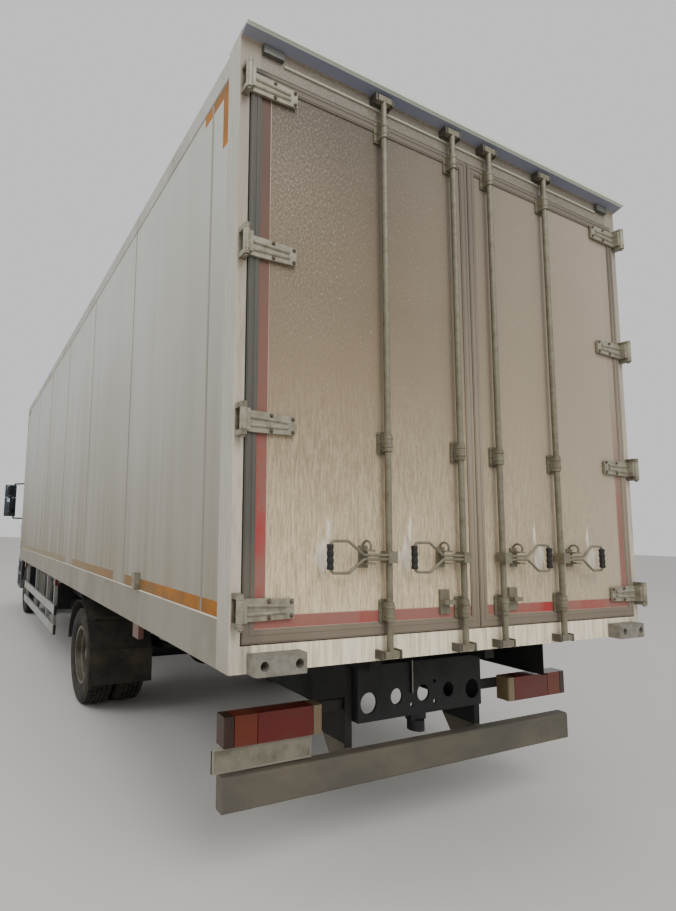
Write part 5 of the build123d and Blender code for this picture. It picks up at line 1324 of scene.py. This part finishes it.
def pad(low, high, face, crown, seams):
    """Foam pad between two corners. face is its crowned axis and side; seams are (axis, place)."""
    low, high = Vector(low), Vector(high)
    middle, half = (low + high) / 2, (high - low) / 2
    piece = soften(block(low, high), min(half) * 0.6, 4)
    modified(piece, "REMESH", mode="VOXEL", voxel_size=SKIN)
    axis, side = face
    others = [index for index in range(3) if index != axis]
    for point in piece.data.vertices:
        share = [(point.co[index] - middle[index]) / half[index] for index in range(3)]
        bulge = (1 - share[others[0]] ** 2) * (1 - share[others[1]] ** 2)
        if share[axis] * side > 0:
            point.co[axis] += side * crown * bulge
        for here, there in (others, others[::-1]):
            point.co[here] -= share[here] * DRAWN_IN * (1 - share[there] ** 2)
    tightened(piece)
    modified(piece, "SUBSURF", levels=1, render_levels=1)
    for point in piece.data.vertices:
        if (point.co[axis] - middle[axis]) * side > 0:
            for across, seam in seams:
                gap = abs(point.co[across] - seam)
                if gap < SEAM_WIDTH:
                    point.co[axis] -= side * SEAM_DEPTH * (1 - gap / SEAM_WIDTH) ** 2
    return piece


# %% Pads of both seats
SIDE_SEAMS = [(X, 0.580), (X, 0.820)]
# name, low corner, high corner, crowned axis and side, crown, seams
PADS = [
    ("cushion", (0.462, -3.738, 1.166), (0.938, -3.280, 1.258), (Z, 1), 0.018,
     [*SIDE_SEAMS, (Y, -3.600)]),
    ("back", (0.462, -3.235, 1.215), (0.938, -3.128, 1.700), (Y, -1), 0.012,
     [*SIDE_SEAMS, (Z, 1.560)]),
    ("head_pad", (0.560, -3.225, 1.745), (0.840, -3.135, 1.880), (Y, -1), 0.010,
     [(X, 0.700)]),
]
for name, *shape in PADS:
    left_pad = pad(*shape)
    right_pad = other_side(left_pad)
    for side_name, piece in (("left", left_pad), ("right", right_pad)):
        hand_over(piece, f"seat_{name}_{side_name}", seat_cloth, "cab")
        bpy.ops.object.shade_smooth()
        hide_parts("cab_seats")

# %% Bellows, frame and head pad pins
fold = soften(block((-0.17, -0.20, -0.024), (0.17, 0.20, 0.024)), 0.015, 3)
bellows = repeat(fold, [(0.7, -3.51, z) for z in (1.014, 1.054, 1.094)])
seat_frame = soften(block((0.475, -3.725, 1.118), (0.925, -3.285, 1.152)), 0.010, 3)
shell = soften(block((0.475, -3.136, 1.150), (0.925, -3.112, 1.680)), 0.010, 3)
pins = repeat(rod((0, 0, 0), 0.006, 0.090, "z", 16), [(x, -3.178, 1.722) for x in (0.630, 0.770)])
seat_bases = both_sides(join([bellows, seat_frame, shell, pins]))
hand_over(seat_bases, "seat_bases", black_plastic, "cab")
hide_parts("cab_seats")

# %% [markdown]
# ## Straps of the fuel tank
# A rolled aluminium tank hangs in two steel straps over thin rubber. A strap is the same raised
# band as a glazing seal, standing on edge round the tank's section.

# %% Tank straps
TANK_LEFT, TANK_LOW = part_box("fuel_tank")[0].x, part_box("fuel_tank")[0].z
TANK_RIGHT, TANK_HIGH, TANK_RADIUS = -0.500, 0.860, 0.110
STRAP_PROUD, STRAP_WIDTH = 0.004, 0.050
strap_steel = finish("galvanised_strap_steel", "#8d8d88", "#6c675d", 0.45, 0.7, 0.6, 12.0)


def tank_strap(y):
    """Band round the tank's section."""
    left, right = TANK_LEFT - STRAP_PROUD, TANK_RIGHT + STRAP_PROUD
    low, high = TANK_LOW - STRAP_PROUD, TANK_HIGH + STRAP_PROUD
    section = ((left, low), (right, low), (right, high), (left, high))
    corners = [Vector((x, y, z)) for x, z in section]
    return gasket(corners, TANK_RADIUS + STRAP_PROUD, 0.012, REARWARDS * STRAP_WIDTH)


straps = join([tank_strap(y) for y in (-1.675, -1.075)])
hand_over(straps, "tank_straps", strap_steel, "chassis")

# %% [markdown]
# ## Fittings of the cooling unit
# The unit's moulded cover is held by draw latches along its lower edge, and two insulated pipes run
# down the front wall from it. A latch is a small plate with a hook over it. The pipes are long
# cylinders in rubber foam, held by clips every half metre.

# %% Latches, pipes and clips
UNIT_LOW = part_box("cooling_unit")[0]
WALL_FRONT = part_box("front_wall")[0].y
PIPE_X, PIPE_TOP, PIPE_FOOT = (0.60, 0.68), UNIT_LOW.z + 0.02, SILL_Z + 0.05
CLIP_Z = [PIPE_FOOT + 0.15 + 0.48 * step for step in range(4)]
plate = soften(block((-0.018, -0.006, -0.030), (0.018, 0.0, 0.030)), 0.002)
hook = soften(block((-0.010, -0.013, -0.020), (0.010, -0.005, 0.034)), 0.003)
latch_places = [(x, UNIT_LOW.y + 0.1, UNIT_LOW.z + 0.045) for x in (-0.72, -0.24, 0.24, 0.72)]
latches = repeat(join([plate, hook]), latch_places)
pipe_middle = (0, WALL_FRONT - 0.022, (PIPE_TOP + PIPE_FOOT) / 2)
pipe = soften(rod(pipe_middle, 0.018, PIPE_TOP - PIPE_FOOT, "z", 28), 0.003)
pipes = repeat(pipe, [(x, 0, 0) for x in PIPE_X])
clip = block((-0.034, WALL_FRONT - 0.044, -0.012), (0.034, WALL_FRONT, 0.012))
clips = repeat(soften(clip, 0.004, 3), [(x, 0, z) for x in PIPE_X for z in CLIP_Z])
pipe_foam = finish("pipe_foam_rubber", "#1a1a1a", "#3c3a34", 0.85, 0.0, 0.5, 10.0)
hand_over(latches, "unit_latches", strap_steel, "chassis")
hand_over(pipes, "unit_pipes", pipe_foam, "chassis")
hand_over(clips, "pipe_clips", strap_steel, "chassis")

# %% [markdown]
# ## Treads, plugs and grab bars
# Small parts finish the sides. Raised bars on the steps keep a boot from slipping. Black plugs
# close the ends of the side guard's rails. An upright grab bar stands beside each cab door. All of
# them are made for the left side and mirrored.

# %% Step treads
bar = soften(block((-0.006, -4.405, 0.0), (0.006, -4.055, 0.005)), 0.002)
treads = repeat(bar, [(0.965 + 0.028 * step, 0, z) for z in (0.410, 0.650) for step in range(6)])
hand_over(both_sides(treads), "step_treads", aluminium, "chassis")

# %% Plugs of the side guard
RAIL_X, RAIL_Z = 1.1925, (0.365, 0.575)
RAIL_ENDS = [corner.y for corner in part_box("side_guards")]
plug = soften(block((-0.0155, -0.006, -0.053), (0.0155, 0.006, 0.053)), 0.004, 3)
plugs = repeat(plug, [(RAIL_X, y, z) for y in RAIL_ENDS for z in RAIL_Z])
hand_over(both_sides(plugs), "guard_plugs", black_plastic, "chassis")

# %% Grab bars beside the cab doors
GRAB_Y = -3.215
grab = soften(rod((1.185, GRAB_Y, 1.320), 0.013, 0.560, "z", 28), 0.005, 3)
feet = [soften(rod((1.163, GRAB_Y, z), 0.015, 0.052, "x", 28), 0.004, 3) for z in (1.070, 1.570)]
hand_over(both_sides(join([grab, *feet])), "grab_bars", black_plastic, "cab")

# %% [markdown]
# ## Seams of the roof
# The roof's sheets meet over flat cover strips that run across the body, in line with the walls'
# joints. A strip is a long low block with rounded edges.

# %% Roof seams
ROOF_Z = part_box("box_roof")[1].z
SEAM_X = WALL_X - 0.06
seams = [
    soften(block((-SEAM_X, y - 0.020, ROOF_Z - 0.001), (SEAM_X, y + 0.020, ROOF_Z + 0.002)), 0.001)
    for y in JOINTS
]
hand_over(join(seams), "roof_seams", aluminium, "chassis")

# %% [markdown]
# ## Worn edges under the floor
# Two edges below the body are rubbed down to bright metal. One is the folded lip along the foot of
# the deep plate on the right, the other the edge of an upright flat bar on the rear crossmember.
# Each is a thin strip with its edges broken.

# %% Worn lip and flat bar
lip = soften(block((-0.897, 3.925, 0.713), (-0.865, 4.296, 0.716)), 0.0008)
flat_bar = soften(block((0.080, 4.299, 0.70), (0.086, 4.302, 0.86)), 0.0008)
rubbed_steel = finish("rubbed_steel_edge", "#8f8b7c", "#6b6558", 0.5, 0.4, 0.6, 14.0)
hand_over(join([lip, flat_bar]), "worn_edges", rubbed_steel, "chassis")

# %% [markdown]
# ## Floor and light
# The truck stands on a plain pale floor under an even, overcast kind of light. The world is a pale
# grey, one large soft lamp above and behind gives the doors their brightness, and a second one far
# to the side keeps the long wall readable.

# %% Pale floor
FLOOR_SIZE = 160.0
floor_finish = start_material("pale_floor", "#c6c4bf", 0.9)[0]
deselect()
bpy.ops.mesh.primitive_plane_add(size=FLOOR_SIZE)
floor = bpy.context.object
floor.name = "pale_floor"
floor.data.materials.append(floor_finish)
print("floor", FLOOR_SIZE, "m wide")

# %% Studio light
world = bpy.data.worlds.new("soft_sky")
bpy.context.scene.world = world
world.use_nodes = True
world.node_tree.nodes.clear()
sky = add_node(world.node_tree, "Background", {"Color": "#e2e2e3", "Strength": 1.05})
add_node(world.node_tree, "OutputWorld", {"Surface": sky})
# name, place, target, size, power
SOFT_LAMPS = [
    ("sky_behind", (1.0, 14.0, 11.0), (0.0, 4.0, 1.5), 9.0, 1150.0),
    ("sky_left", (13.0, 2.0, 10.0), (1.0, 0.0, 1.5), 9.0, 850.0),
]
for name, place, target, size, power in SOFT_LAMPS:
    bpy.ops.object.light_add(type="AREA", location=place)
    lamp = bpy.context.object
    lamp.name = name
    lamp.data.shape = "SQUARE"
    lamp.data.size = size
    lamp.data.energy = power
    aimed = (Vector(target) - Vector(place)).to_track_quat("-Z", "Y")
    lamp.rotation_euler = aimed.to_euler()
    print(name, power, "W")
